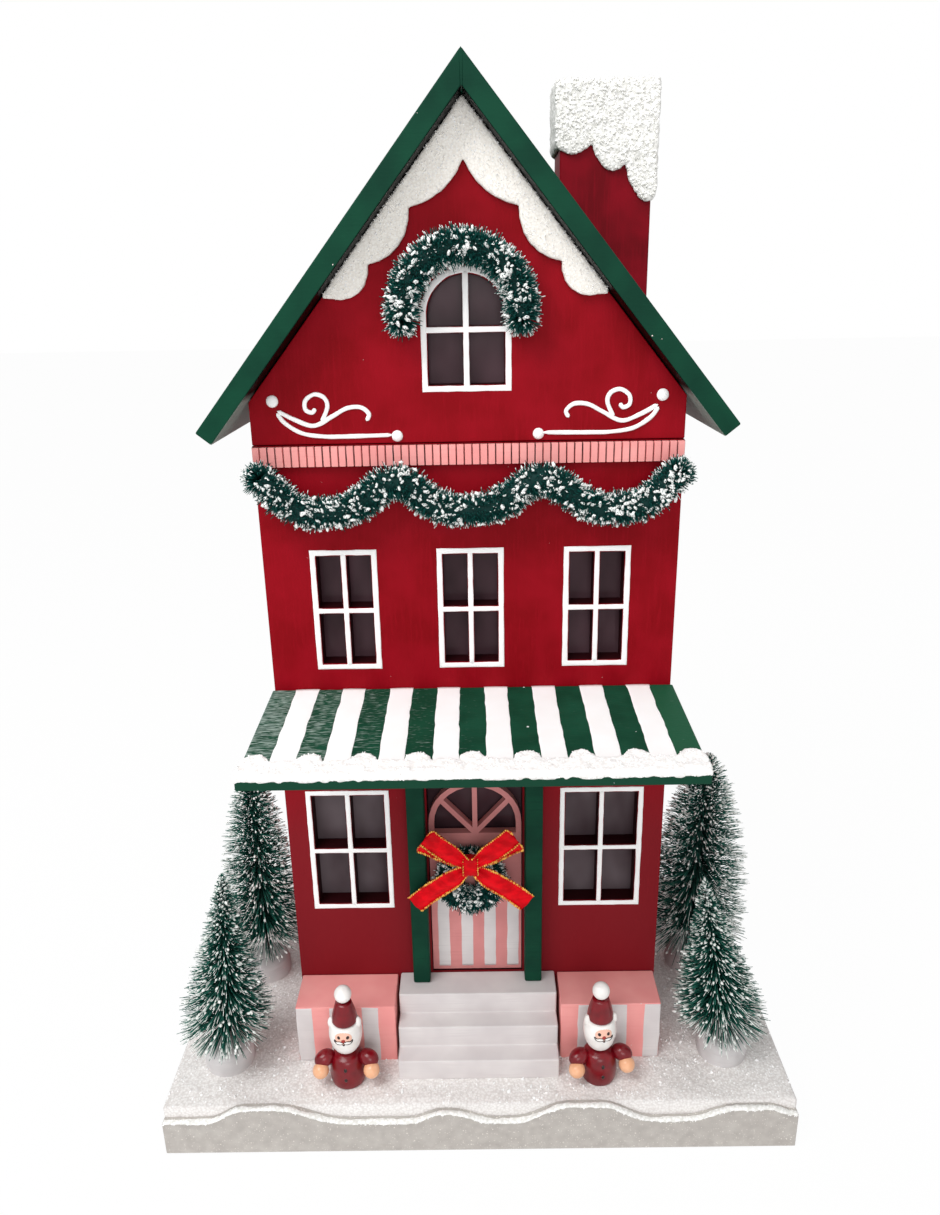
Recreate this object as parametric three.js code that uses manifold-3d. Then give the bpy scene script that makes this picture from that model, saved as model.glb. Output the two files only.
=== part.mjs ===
// Christmas house decoration: a tall painted wooden town house on a snowy base.
// Millimetres. x runs across the front, y from the front to the back, z up from the table.
// The origin is on the table, under the middle of the whole piece. The front faces -y.

import * as THREE from 'three';
import { mergeVertices } from 'three/addons/utils/BufferGeometryUtils.js';
import Module from 'manifold-3d';

const wasm = await Module();
wasm.setup();

// Clearances
const GLUE = 0.2;              // between two glued flat faces
const SEAT = 0.3;              // between a piece and the round or sloping piece it sits on

// Base slab and the drift board on its front
const BASE_W = 200;
const BASE_T = 15.7;
const YARD_FRONT = 36.7;       // from the wall to the very front of the drift board
const YARD_BACK = 17.3;
const DRIFT_T = 3;

// House body
const HOUSE_W = 120.5;
const HOUSE_D = 66;
const WALL_T = 6;
const SEAM_Z = 218.4;          // top of the front wall, where the gable board starts

// Roof
const EAVE_RISE = 12.4;        // upright edge of the gable board above the seam
const EAVE_OUT = 12.55;        // eave tip beyond the side wall, measured level
const ROOF_PITCH = THREE.MathUtils.degToRad(50.8);
const ROOF_T = 5.2;
const ROOF_OVER = 10.3;        // overhang in front of and behind the walls

// Chimney and its snow
const CHIMNEY_IN = 19.5;       // its outer side, measured level from the eave tip
const CHIMNEY_W = 26.1;
const CHIMNEY_D = 18;
const CHIMNEY_BACK = 29.3;     // set back from the wall's front face
const CHIMNEY_DROP = 1.4;      // its top below the ridge
const SNOW_T = 1;              // thickness of the snow layer over it
const CAP_SHARES = [0.35, 0.33, 0.32];      // front drips, left to right: share of the width
const CAP_DROPS = [17.6, 21.9, 29.3];       // and how far down each reaches
const CAP_CUSPS = [15, 14.4, 18.9, 27.4];   // drop of the points between and beside them

// Snow trim under the gable: points between its lobes (x, drop below the inner ridge), lobe depths
const TRIM_T = 1.8;
const TRIM_CUSPS = [[0, 13.6], [14.2, 24.9], [25.4, 38.4], [35.5, 46.7]];
const TRIM_BULGE = [2.4, 3.6, 3.7];

// Dentil band
const BAND_H = 5.6;
const BAND_BACK_T = 0.6;
const DENTIL_T = 1.0;
const DENTIL_COUNT = 55;
const DENTIL_SHARE = 0.82;     // share of the pitch that is wood

// Windows: outer size of the painted frame, width of its bars
const BAR = 1.7;
const UPPER_WIN = { w: 19.4, h: 37.2, aboveAwning: 6.5, side: 7.65 };
const LOWER_WIN = { w: 26.5, h: 44.2, aboveBase: 49, side: 0.5 };
const GABLE_WIN = { w: 24.3, aboveSeam: 14, spring: 20, rail: 16.2 };
const FILM_T = 0.4;
const FILM_LAP = 2.5;          // film beyond the openings

// Door, its opening and posts
const DOOR_W = 30;
const DOOR_T = 3;
const DOOR_RECESS = 1;
const DOOR_RISE = 57.6;        // from the landing to where the arched top starts
const SILL_DROP = 3.8;         // lower edge of the fan light below that
const DOOR_RING = 1.8;
const SPOKE_W = 1.6;
const SPOKE_ANGLE = THREE.MathUtils.degToRad(42);
const DOORWAY_OVER = 7.4;      // doorway above the door
const POST_W = 5.6;
const POST_SET = 0.55;         // post beside the doorway

// Steps and planters
const STEP_W = 52.2;
const STEP_TOP = 38.4;
const STEP_COUNT = 3;
const LANDING_D = 10.9;
const TREAD_D = 6.55;
const PLANTER_GAP = 1;         // from the steps
const PLANTER_INSET = 0.5;     // from the corner of the house
const PLANTER_D = 15.5;
const PLANTER_H = 22.1;

// Awning and the snow on its front edge
const AWNING_SIDE = 0.65;      // beyond each side of the house
const AWNING_D = 50.7;
const AWNING_T = 3.2;
const AWNING_BACK_Z = 144.3;
const AWNING_FALL = 2.6;
const STRIPES = 17;
const AWNING_SNOW_T = 0.8;
const AWNING_SNOW_D = 7.5;     // depth of the plain snow strip
const SCALLOP_D = 5.2;         // how far each scallop reaches beyond it

// Bottle-brush garlands and wreath
const BRUSH_R = 5.2;
const SWAGS = 3;
const SWAG_DROP = 9.4;
const SWAG_BELOW = 3.2;        // its ends below the dentil band
const ARCH_X = -0.9;           // centre of the arch garland beside the window's
const ARCH_RAISE = 1.1;        // and above its spring
const ARCH_LAP = 1.25;         // how far the brush lies over the frame
const ARCH_LEG = 2.9;
const WREATH_R = 8.7;
const WREATH_BRUSH_R = 3.6;
const WREATH_X = -1.6;
const WREATH_UP = 38.9;        // above the landing

// Ribbon bow
const RIBBON_W = 6.35;
const RIBBON_T = 0.5;
const BOW_LOOP = 18.2;
const BOW_TAIL = 22.9;
const BOW_LOOP_UP = THREE.MathUtils.degToRad(39.5);
const BOW_TAIL_DOWN = THREE.MathUtils.degToRad(38.5);
const BOW_RISE = 9.4;          // knot above the wreath's centre
const LOOP_BELLY = 3.2;        // front to back thickness of a loop
const KNOT_W = 4.6;

// Bottle-brush trees on round stands
const STAND_R = 8;
const STAND_H = 8;
const WIRE_R = 0.7;
const STRANDS = 100;           // on each tree
const FRONT_TREE = { r: 16.3, h: 76 };
const REAR_TREE = { r: 17, h: 88 };
const TREE_EDGE = 0.4;         // front trees stay this far inside the slab's ends
const TREE_WALL = 1.8;         // rear trees stay this far off the side walls

// Turned dolls
const DOLL_X = [-42.5, 38.9];
const DOLL_GAP = 1.25;         // from the planters
const DOLL_TURN = [0, 7];     // degrees, towards the right-hand side
const BODY_R = 5.75;
const BODY_H = 11.6;
const HEAD_R = 5.3;
const HEAD_H = 15.6;
const HAT_R = 4.2;
const HAT_TOP_R = 2.5;
const HAT_H = 7.2;
const POM_R = 2.75;
const HAND_R = 2.6;
const SLEEVE_R = 2.7;

// Placed from the sizes above
const totalDepth = AWNING_D + HOUSE_D + YARD_BACK;
const WALL_Y = AWNING_D - totalDepth / 2;
const baseFront = WALL_Y - YARD_FRONT;
const baseBack = WALL_Y + HOUSE_D + YARD_BACK;
const slope = Math.tan(ROOF_PITCH);
const ridgeInner = SEAM_Z + EAVE_RISE + HOUSE_W / 2 * slope;
const ridge = ridgeInner + ROOF_T / Math.cos(ROOF_PITCH);
const roofHalf = HOUSE_W / 2 + EAVE_OUT;
const roofTopAt = (x) => ridge - Math.abs(x) * slope;
const roofUnderAt = (x) => ridgeInner - Math.abs(x) * slope;
const roofGap = SEAT / Math.cos(ROOF_PITCH);

// Paints and materials
const paint = (color, roughness, metalness = 0) =>
  new THREE.MeshStandardMaterial({ color, roughness, metalness });
const RED = paint('#8f0f1c', 0.55);
const GREEN = paint('#1f4a36', 0.55);
const PINK = paint('#f2a8a6', 0.6);
const WHITE = paint('#f4f3f0', 0.6);
const SNOW = paint('#f2f2f2', 0.85);
const BRISTLE = paint('#1c5242', 0.7);
const RIBBON = paint('#d3101c', 0.4);
const GLOSS_RED = paint('#9c1222', 0.25);
const GLOSS_WHITE = paint('#f6f4ef', 0.3);
const SKIN = paint('#f0b48c', 0.35);
const FILM = paint('#4a4145', 0.15);

// Geometry helpers

// Joins equal corners and drops triangles that have none left over.
function weld(geometry) {
  const bare = new THREE.BufferGeometry();
  bare.setAttribute('position', geometry.getAttribute('position'));
  if (geometry.index) bare.setIndex(geometry.index);
  const merged = mergeVertices(bare, 1e-4);
  const index = merged.index.array;
  const kept = [];
  for (let i = 0; i < index.length; i += 3) {
    const [a, b, c] = [index[i], index[i + 1], index[i + 2]];
    if (a !== b && b !== c && c !== a) kept.push(a, b, c);
  }
  merged.setIndex(kept);
  return merged;
}

function toSolid(geometry) {
  const welded = weld(geometry);
  return new wasm.Manifold(new wasm.Mesh({
    numProp: 3,
    vertProperties: new Float32Array(welded.getAttribute('position').array),
    triVerts: new Uint32Array(welded.index.array),
  }));
}

function fromSolid(solid) {
  const { vertProperties, triVerts } = solid.getMesh();
  const geometry = new THREE.BufferGeometry();
  geometry.setAttribute('position', new THREE.BufferAttribute(new Float32Array(vertProperties), 3));
  geometry.setIndex(new THREE.BufferAttribute(new Uint32Array(triVerts), 1));
  return geometry;
}

const join = (...parts) => fromSolid(parts.map(toSolid).reduce((all, one) => all.add(one)));
const cut = (body, ...tools) =>
  fromSolid(tools.map(toSolid).reduce((rest, tool) => rest.subtract(tool), toSolid(body)));

const outline = (points) => new THREE.Shape(points.map(([u, v]) => new THREE.Vector2(u, v)));

const extrude = (points, depth) =>
  new THREE.ExtrudeGeometry(outline(points), { depth, bevelEnabled: false, curveSegments: 1 });

// A board standing across the house: outline in (x, z), from front to back.
const facing = (points, front, depth) =>
  extrude(points, depth).rotateX(Math.PI / 2).translate(0, front + depth, 0);

// The same with openings sawn through it.
const pierced = (points, front, depth, holes) =>
  cut(facing(points, front, depth), ...holes.map((hole) => facing(hole, front - 1, depth + 2)));

// A profile seen from the side: outline in (y, z), running along x.
function sideways(points, left, length) {
  const turn = new THREE.Matrix4().makeBasis(
    new THREE.Vector3(0, 1, 0), new THREE.Vector3(0, 0, 1), new THREE.Vector3(1, 0, 0));
  return extrude(points, length).applyMatrix4(turn).translate(left, 0, 0);
}

const box = (x0, x1, y0, y1, z0, z1) =>
  new THREE.BoxGeometry(x1 - x0, y1 - y0, z1 - z0)
    .translate((x0 + x1) / 2, (y0 + y1) / 2, (z0 + z1) / 2);

const rect = (x0, x1, z0, z1) => [[x0, z0], [x1, z0], [x1, z1], [x0, z1]];

// Turned piece about the z axis; profile of [radius, z] from its lowest point.
const turned = (profile, sides = 16) =>
  new THREE.LatheGeometry(profile.map(([r, z]) => new THREE.Vector2(r, z)), sides)
    .rotateX(Math.PI / 2);

// Points of an arc between two corners; bulge is its height, to the left of the way from a to b.
function arc(a, b, bulge, steps) {
  const chord = Math.hypot(b[0] - a[0], b[1] - a[1]);
  const radius = chord * chord / (8 * bulge) + bulge / 2;
  const half = Math.asin(Math.min(1, chord / (2 * radius)));
  const [ux, uy] = [(b[0] - a[0]) / chord, (b[1] - a[1]) / chord];
  return Array.from({ length: steps + 1 }, (_, i) => {
    const t = -half + 2 * half * i / steps;
    const along = chord / 2 + radius * Math.sin(t);
    const side = radius * Math.cos(t) - (radius - bulge);
    return [a[0] + ux * along - uy * side, a[1] + uy * along + ux * side];
  });
}

// Half a circle over a base line, from its right end to its left end.
const halfCircle = (x, z, r, steps) => Array.from({ length: steps + 1 }, (_, i) => {
  const t = Math.PI * i / steps;
  return [x + r * Math.cos(t), z + r * Math.sin(t)];
});

// A round rod along a line of points.
function rod(points, radius, sides, steps) {
  const section = Array.from({ length: sides }, (_, i) => {
    const t = 2 * Math.PI * (i + 0.5) / sides;
    return [radius * Math.cos(t), radius * Math.sin(t)];
  });
  const path = new THREE.CatmullRomCurve3(points.map((p) => new THREE.Vector3(...p)));
  return new THREE.ExtrudeGeometry(outline(section), {
    steps, bevelEnabled: false, extrudePath: path,
  });
}

const group = new THREE.Group();
group.name = 'christmas_house';
function add(name, geometry, material) {
  const welded = weld(geometry);
  welded.computeVertexNormals();
  const mesh = new THREE.Mesh(welded, material);
  mesh.name = name;
  group.add(mesh);
}

// Base slab
add('base_slab', box(-BASE_W / 2, BASE_W / 2, baseFront + DRIFT_T, baseBack, 0, BASE_T), SNOW);

// Drift board: level stretches, from and to as shares of the half width, with their height over
// the slab's top as a share of its thickness, and eased slopes between them
const driftLevels = [
  [-1, -0.86, -0.22], [-0.74, -0.64, 0.11], [-0.42, -0.22, -0.27], [-0.12, -0.09, -0.06],
  [0.05, 0.11, -0.29], [0.28, 0.38, 0.1], [0.55, 0.65, -0.3], [0.81, 0.91, -0.03],
  [0.99, 1, -0.18],
].map(([from, to, over]) => [from, to, BASE_T * (1 + over)]);
const driftTop = [];
driftLevels.forEach(([from, to, z], i) => {
  driftTop.push([from * BASE_W / 2, z], [to * BASE_W / 2, z]);
  if (i + 1 === driftLevels.length) return;
  const [next, , nextZ] = driftLevels[i + 1];
  for (let k = 1; k < 5; k += 1) {
    const ease = (1 - Math.cos(Math.PI * k / 5)) / 2;
    driftTop.push([(to + (next - to) * k / 5) * BASE_W / 2, z + (nextZ - z) * ease]);
  }
});
add('drift_board',
  facing([[-BASE_W / 2, 0], [BASE_W / 2, 0], ...driftTop.reverse()], baseFront, DRIFT_T - GLUE), SNOW);

// Openings of a four-pane window
const panes = (x, z, w, h) => {
  const paneW = (w - 3 * BAR) / 2;
  const paneH = (h - 3 * BAR) / 2;
  return [-1, 1].flatMap((side) => [0, 1].map((row) => {
    const left = x + (side < 0 ? -BAR / 2 - paneW : BAR / 2);
    const foot = z + BAR + row * (paneH + BAR);
    return rect(left, left + paneW, foot, foot + paneH);
  }));
};

// Front wall
const sideX = ({ side, w }) => HOUSE_W / 2 - WALL_T - side - w / 2;
const upperX = [-sideX(UPPER_WIN), 0, sideX(UPPER_WIN)];
const lowerX = [-sideX(LOWER_WIN), sideX(LOWER_WIN)];
const upperZ = AWNING_BACK_Z + UPPER_WIN.aboveAwning;
const lowerZ = BASE_T + LOWER_WIN.aboveBase;
const wallFoot = BASE_T + GLUE;
const doorFoot = STEP_TOP + GLUE;
const doorSpring = STEP_TOP + DOOR_RISE;
const doorSill = doorSpring - SILL_DROP;
const doorwayHalf = DOOR_W / 2 + SEAT;
const doorwayTop = doorSpring + DOOR_W / 2 + DOORWAY_OVER;
const frontHoles = [
  ...upperX.flatMap((x) => panes(x, upperZ, UPPER_WIN.w, UPPER_WIN.h)),
  ...lowerX.flatMap((x) => panes(x, lowerZ, LOWER_WIN.w, LOWER_WIN.h)),
  rect(-doorwayHalf, doorwayHalf, STEP_TOP, doorwayTop),
];
add('front_wall',
  pierced(rect(-HOUSE_W / 2, HOUSE_W / 2, wallFoot, SEAM_Z), WALL_Y, WALL_T, frontHoles), RED);

// Gable board with its arched window
const gableFoot = SEAM_Z + GLUE;
const gableOutline = (foot) => [
  [-HOUSE_W / 2, foot], [HOUSE_W / 2, foot],
  [HOUSE_W / 2, roofUnderAt(HOUSE_W / 2) - roofGap], [0, ridgeInner - roofGap],
  [-HOUSE_W / 2, roofUnderAt(HOUSE_W / 2) - roofGap],
];
const gableSill = SEAM_Z + GABLE_WIN.aboveSeam;
const gableSpring = gableSill + GABLE_WIN.spring;
const gableRail = gableSill + GABLE_WIN.rail;
const archIn = GABLE_WIN.w / 2 - BAR;
const lowPanes = [-1, 1].map((side) => {
  const [a, b] = side < 0 ? [-archIn, -BAR / 2] : [BAR / 2, archIn];
  return rect(a, b, gableSill + BAR, gableRail - BAR / 2);
});
const quarter = Array.from({ length: 6 }, (_, i) => {
  const from = Math.asin(BAR / 2 / archIn);
  const t = from + (Math.PI / 2 - from) * i / 5;
  return [archIn * Math.sin(t), gableSpring + archIn * Math.cos(t)];
});
const archPane = [
  [BAR / 2, gableRail + BAR / 2], ...quarter, [archIn, gableRail + BAR / 2],
];
const mirrored = (points) => points.map(([x, z]) => [-x, z]);
add('gable_board',
  pierced(gableOutline(gableFoot), WALL_Y, WALL_T, [...lowPanes, archPane, mirrored(archPane)]), RED);

// Back and side walls
const houseBack = WALL_Y + HOUSE_D;
add('back_wall', facing(gableOutline(wallFoot), houseBack - WALL_T, WALL_T), RED);
for (const side of [-1, 1]) {
  const [outer, inner] = [side * HOUSE_W / 2, side * (HOUSE_W / 2 - WALL_T)];
  add(side < 0 ? 'left_wall' : 'right_wall', facing([
    [outer, wallFoot], [outer, roofUnderAt(outer) - roofGap],
    [inner, roofUnderAt(inner) - roofGap], [inner, wallFoot],
  ], WALL_Y + WALL_T + GLUE, HOUSE_D - 2 * (WALL_T + GLUE)), RED);
}

// Roof boards, mitred at the ridge
for (const side of [-1, 1]) {
  const eave = [roofHalf, roofTopAt(roofHalf)];
  const points = [
    [GLUE / 2, roofTopAt(GLUE / 2)], eave,
    [eave[0] - ROOF_T * Math.sin(ROOF_PITCH), eave[1] - ROOF_T * Math.cos(ROOF_PITCH)],
    [GLUE / 2, roofUnderAt(GLUE / 2)],
  ];
  add(side < 0 ? 'roof_left' : 'roof_right',
    facing(points.map(([x, z]) => [side * x, z]), WALL_Y - ROOF_OVER, HOUSE_D + 2 * ROOF_OVER), GREEN);
}

// Chimney, cut to the roof's slope
const chimneyX = [roofHalf - CHIMNEY_IN - CHIMNEY_W, roofHalf - CHIMNEY_IN];
const chimneyTop = ridge - CHIMNEY_DROP;
const chimneyFront = WALL_Y + CHIMNEY_BACK;
add('chimney', facing([
  [chimneyX[0], roofTopAt(chimneyX[0]) + roofGap], [chimneyX[1], roofTopAt(chimneyX[1]) + roofGap],
  [chimneyX[1], chimneyTop], [chimneyX[0], chimneyTop],
], chimneyFront, CHIMNEY_D), RED);

// Snow on the chimney: a box over its head, the lower edge cut in rounded drips. Each drip hangs
// from the line between its two cusps by a steep-sided lobe, deepest by `depth`.
const DRIP_STEPS = 8;
const drip = (a, b, depth) => Array.from({ length: DRIP_STEPS + 1 }, (_, i) => {
  const t = (1 - Math.cos(Math.PI * i / DRIP_STEPS)) / 2;
  const lobe = i % DRIP_STEPS ? Math.sin(Math.PI * t) ** 0.55 : 0;
  return [a[0] + (b[0] - a[0]) * t, a[1] + (b[1] - a[1]) * t - depth * lobe];
});
const capX = [chimneyX[0] - GLUE - SNOW_T, chimneyX[1] + GLUE + SNOW_T];
const capTop = chimneyTop + GLUE + SNOW_T;
const capEdge = [];
CAP_SHARES.reduce((x, share, i) => {
  const next = x + share * (capX[1] - capX[0]);
  const [a, b] = [[x, capTop - CAP_CUSPS[i]], [next, capTop - CAP_CUSPS[i + 1]]];
  const depth = CAP_DROPS[i] - (CAP_CUSPS[i] + CAP_CUSPS[i + 1]) / 2;
  capEdge.push(...drip(a, b, depth).slice(i ? 1 : 0));
  return next;
}, capX[0]);
const cap = facing([...capEdge, [capX[1], capTop], [capX[0], capTop]],
  chimneyFront - GLUE - SNOW_T, CHIMNEY_D + 2 * (GLUE + SNOW_T));
add('chimney_snow', cut(cap, box(
  chimneyX[0] - GLUE, chimneyX[1] + GLUE, chimneyFront - GLUE, chimneyFront + CHIMNEY_D + GLUE,
  roofTopAt(chimneyX[1]), chimneyTop + GLUE)), SNOW);

// Snow trim under the front of the roof: three lobes each side of the middle point
const trimPoint = ([x, drop]) => [x, ridgeInner - drop];
const trimHalf = TRIM_BULGE.flatMap((bulge, i) =>
  arc(trimPoint(TRIM_CUSPS[i]), trimPoint(TRIM_CUSPS[i + 1]), -bulge, 6).slice(i ? 1 : 0));
const trimEnd = TRIM_CUSPS[TRIM_CUSPS.length - 1][1];
const trimRight = [...trimHalf, [(trimEnd - roofGap) / slope, ridgeInner - trimEnd]];
add('gable_snow_trim', facing([
  ...trimRight, [0, ridgeInner - roofGap], ...mirrored(trimRight).reverse().slice(0, -1),
], WALL_Y - GLUE - TRIM_T, TRIM_T), SNOW);

// Dentil band: a backing strip and its small upright strips
const bandTop = SEAM_Z - GLUE;
const bandFront = WALL_Y - GLUE - BAND_BACK_T;
const dentilPitch = HOUSE_W / DENTIL_COUNT;
const comb = [];
for (let i = 0; i < DENTIL_COUNT; i += 1) {
  const left = -HOUSE_W / 2 + (i + (1 - DENTIL_SHARE) / 2) * dentilPitch;
  const right = left + DENTIL_SHARE * dentilPitch;
  comb.push([left, bandFront], [left, bandFront - DENTIL_T],
    [right, bandFront - DENTIL_T], [right, bandFront]);
}
add('dentil_band', extrude([
  [HOUSE_W / 2, WALL_Y - GLUE], [-HOUSE_W / 2, WALL_Y - GLUE], [-HOUSE_W / 2, bandFront],
  ...comb, [HOUSE_W / 2, bandFront],
], BAND_H).translate(0, 0, bandTop - BAND_H), PINK);

// Clear film behind each group of openings
const filmY = WALL_Y + WALL_T + GLUE;
const film = (name, x0, x1, z0, z1) =>
  add(name, box(x0, x1, filmY, filmY + FILM_T, z0, z1), FILM);
film('film_gable', -archIn - FILM_LAP, archIn + FILM_LAP,
  gableSill, gableSpring + archIn + FILM_LAP);
film('film_upper', upperX[0] - UPPER_WIN.w / 2 - FILM_LAP, upperX[2] + UPPER_WIN.w / 2 + FILM_LAP,
  upperZ - FILM_LAP, upperZ + UPPER_WIN.h + FILM_LAP);
lowerX.forEach((x, i) => film(i ? 'film_lower_right' : 'film_lower_left',
  x - LOWER_WIN.w / 2, x + LOWER_WIN.w / 2, lowerZ, lowerZ + LOWER_WIN.h));

// Door: arched panel with a fan light and three spokes
const doorY = WALL_Y + DOOR_RECESS;
const fanR = DOOR_W / 2 - DOOR_RING;
const fanHole = [[-fanR, doorSill], [fanR, doorSill], ...halfCircle(0, doorSpring, fanR, 14)];
const doorPanel = pierced([
  [-DOOR_W / 2, doorFoot], [DOOR_W / 2, doorFoot], ...halfCircle(0, doorSpring, DOOR_W / 2, 16),
], doorY, DOOR_T, [fanHole]);
const spokes = [-1, 0, 1].map((side) => {
  const angle = Math.PI / 2 + side * SPOKE_ANGLE;
  const reach = fanR + SILL_DROP * Math.sin(angle) + DOOR_RING / 2;
  return box(-SPOKE_W / 2, reach, doorY, doorY + DOOR_T, -SPOKE_W / 2, SPOKE_W / 2)
    .rotateY(-angle).translate(0, 0, doorSill);
});
add('door', join(doorPanel, ...spokes), PINK);

// Film that closes the doorway behind the door, clear of the lower windows' films
const doorLap = Math.min(FILM_LAP, (lowerX[1] - LOWER_WIN.w / 2 - doorwayHalf) / 2);
film('film_door', -doorwayHalf - doorLap, doorwayHalf + doorLap,
  STEP_TOP - FILM_LAP, doorwayTop + FILM_LAP);

// Awning board and the posts under it
const awningW = HOUSE_W + 2 * AWNING_SIDE;
const awningSlope = AWNING_FALL / AWNING_D;
const awningTopAt = (y) => AWNING_BACK_Z - (WALL_Y - y) * awningSlope;
const awningBack = WALL_Y - GLUE;
const awningFront = WALL_Y - AWNING_D;
add('awning', sideways([
  [awningBack, awningTopAt(awningBack)], [awningFront, awningTopAt(awningFront)],
  [awningFront, awningTopAt(awningFront) - AWNING_T], [awningBack, awningTopAt(awningBack) - AWNING_T],
], -awningW / 2, awningW), GREEN);
for (const side of [-1, 1]) {
  const [back, front] = [WALL_Y - GLUE, WALL_Y - GLUE - POST_W];
  const under = (y) => awningTopAt(y) - AWNING_T - GLUE;
  add(side < 0 ? 'post_left' : 'post_right', sideways([
    [back, doorFoot], [back, under(back)], [front, under(front)], [front, doorFoot],
  ], side * (doorwayHalf + POST_SET + POST_W / 2) - POST_W / 2, POST_W), GREEN);
}

// Snow on the awning's front edge, with a scallop over every green stripe
const stripeW = awningW / STRIPES;
const snowEdge = [];
for (let i = 0; i < STRIPES; i += 1) {
  const [x0, x1] = [-awningW / 2 + i * stripeW, -awningW / 2 + (i + 1) * stripeW];
  if (i % 2 === 0) snowEdge.push(...arc([x0, AWNING_SNOW_D], [x1, AWNING_SNOW_D], SCALLOP_D * 0.65, 6));
}
add('awning_snow', extrude([
  [-awningW / 2, 0], [awningW / 2, 0], ...snowEdge.reverse(),
], AWNING_SNOW_T).rotateX(Math.atan(awningSlope))
  .translate(0, awningFront, awningTopAt(awningFront) + GLUE), SNOW);

// Steps and planters
const riser = (STEP_TOP - BASE_T) / STEP_COUNT;
const stair = [[WALL_Y - GLUE, BASE_T], [WALL_Y - GLUE, STEP_TOP]];
for (let i = 0; i < STEP_COUNT; i += 1) {
  const nose = WALL_Y - LANDING_D - i * TREAD_D;
  stair.push([nose, STEP_TOP - i * riser], [nose, STEP_TOP - (i + 1) * riser]);
}
add('steps', sideways(stair, -STEP_W / 2, STEP_W), WHITE);
for (const side of [-1, 1]) {
  const span = [STEP_W / 2 + PLANTER_GAP, HOUSE_W / 2 - PLANTER_INSET]
    .map((x) => side * x).sort((a, b) => a - b);
  add(side < 0 ? 'planter_left' : 'planter_right', box(
    span[0], span[1], WALL_Y - GLUE - PLANTER_D, WALL_Y - GLUE, BASE_T, BASE_T + PLANTER_H), PINK);
}

// Swag garland: bottle brush in three even waves below the dentil band
const swagPitch = HOUSE_W / SWAGS;
const swagEndZ = bandTop - BAND_H - SWAG_BELOW;
const bandReach = Math.max(0, BRUSH_R - SWAG_BELOW);
const behindBand = Math.sqrt(Math.max(0, BRUSH_R ** 2 - (BRUSH_R - bandReach) ** 2));
const swagY = bandFront - DENTIL_T - SEAT - (bandReach < BRUSH_R ? behindBand : BRUSH_R);
const swagPath = Array.from({ length: 12 * SWAGS + 1 }, (_, i) => {
  const x = -HOUSE_W / 2 + i * swagPitch / 12;
  const z = swagEndZ - SWAG_DROP * (1 + Math.cos(2 * Math.PI * x / swagPitch)) / 2;
  return [x, Math.min(swagY, WALL_Y - GLUE - BRUSH_R - SEAT), z];
});
add('swag_garland', rod(swagPath, BRUSH_R, 8, 12 * SWAGS), BRISTLE);

// Arch garland round the top of the gable window
const archY = WALL_Y - BRUSH_R - SEAT;
const archR = GABLE_WIN.w / 2 + BRUSH_R - ARCH_LAP;
const archZ = gableSpring + ARCH_RAISE;
const archTop = halfCircle(0, archZ, archR, 14).map(([x, z]) => [x, archY, z]);
add('arch_garland', rod([
  [archR, archY, archZ - ARCH_LEG], ...archTop, [-archR, archY, archZ - ARCH_LEG],
], BRUSH_R, 8, 20).translate(ARCH_X, 0, 0), BRISTLE);

// Door wreath
const wreathY = doorY - SEAT - WREATH_BRUSH_R;
const wreathZ = STEP_TOP + WREATH_UP;
add('door_wreath', new THREE.TorusGeometry(WREATH_R, WREATH_BRUSH_R, 8, 24)
  .rotateX(Math.PI / 2).translate(WREATH_X, wreathY, wreathZ), BRISTLE);

// Ribbon bow on the wreath: two flattened loops and two tails from a waist, held by a knot band
const bowZ = wreathZ + BOW_RISE;
const waistT = 4 * RIBBON_T;
const waistH = RIBBON_W * 0.7;
const knotHalfT = waistT / 2 + SEAT + RIBBON_T;
const bowY = wreathY - WREATH_BRUSH_R - SEAT - Math.max(knotHalfT, LOOP_BELLY / 2);

// A strip of ribbon: its edge line (along, front to back), full width, gathered near the knot.
function strip(points, angle, width = RIBBON_W) {
  const ribbon = facing(points, -width / 2, width);
  const place = ribbon.getAttribute('position');
  for (let i = 0; i < place.count; i += 1) {
    const gather = THREE.MathUtils.smoothstep(place.getX(i), 0, BOW_LOOP / 3);
    place.setY(i, place.getY(i) * (0.55 + 0.45 * gather));
  }
  return ribbon.applyMatrix4(new THREE.Matrix4().makeBasis(
    new THREE.Vector3(Math.cos(angle), 0, Math.sin(angle)),
    new THREE.Vector3(-Math.sin(angle), 0, Math.cos(angle)),
    new THREE.Vector3(0, -1, 0)));
}
const loopEdge = (grow) => {
  const half = LOOP_BELLY / 2 + grow;
  return [-1, 1].flatMap((side) => Array.from({ length: 7 }, (_, i) => {
    const t = side < 0 ? i / 6 : 1 - i / 6;
    return [KNOT_W / 4 + (BOW_LOOP - KNOT_W / 4 + grow) * t - (1 - t) * grow * 2,
      side * half * Math.sin(Math.PI * (0.12 + 0.88 * t) ** 1.7)];
  })).filter((_, i) => i !== 7);
};
const loopRing = loopEdge(0);
const loopHole = loopEdge(-RIBBON_T);
const bowLoop = (angle) => cut(strip(loopRing, angle),
  strip(loopHole, angle, 2 * RIBBON_W));
const bowTail = (angle) => {
  const wave = (u) => 0.5 * Math.sin(2 * Math.PI * u / BOW_TAIL);
  const us = [0, 0.2, 0.4, 0.6, 0.8, 1].map((t) => t * BOW_TAIL);
  return strip([
    ...us.map((u) => [u, wave(u) - RIBBON_T / 2]),
    ...[...us].reverse().map((u) => [u, wave(u) + RIBBON_T / 2]),
  ], angle);
};
const waist = box(-KNOT_W * 0.7, KNOT_W * 0.7, -waistT / 2, waistT / 2, -waistH / 2, waistH / 2);
const bow = join(waist, bowLoop(BOW_LOOP_UP), bowLoop(Math.PI - BOW_LOOP_UP),
  bowTail(-BOW_TAIL_DOWN), bowTail(Math.PI + BOW_TAIL_DOWN));
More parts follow.
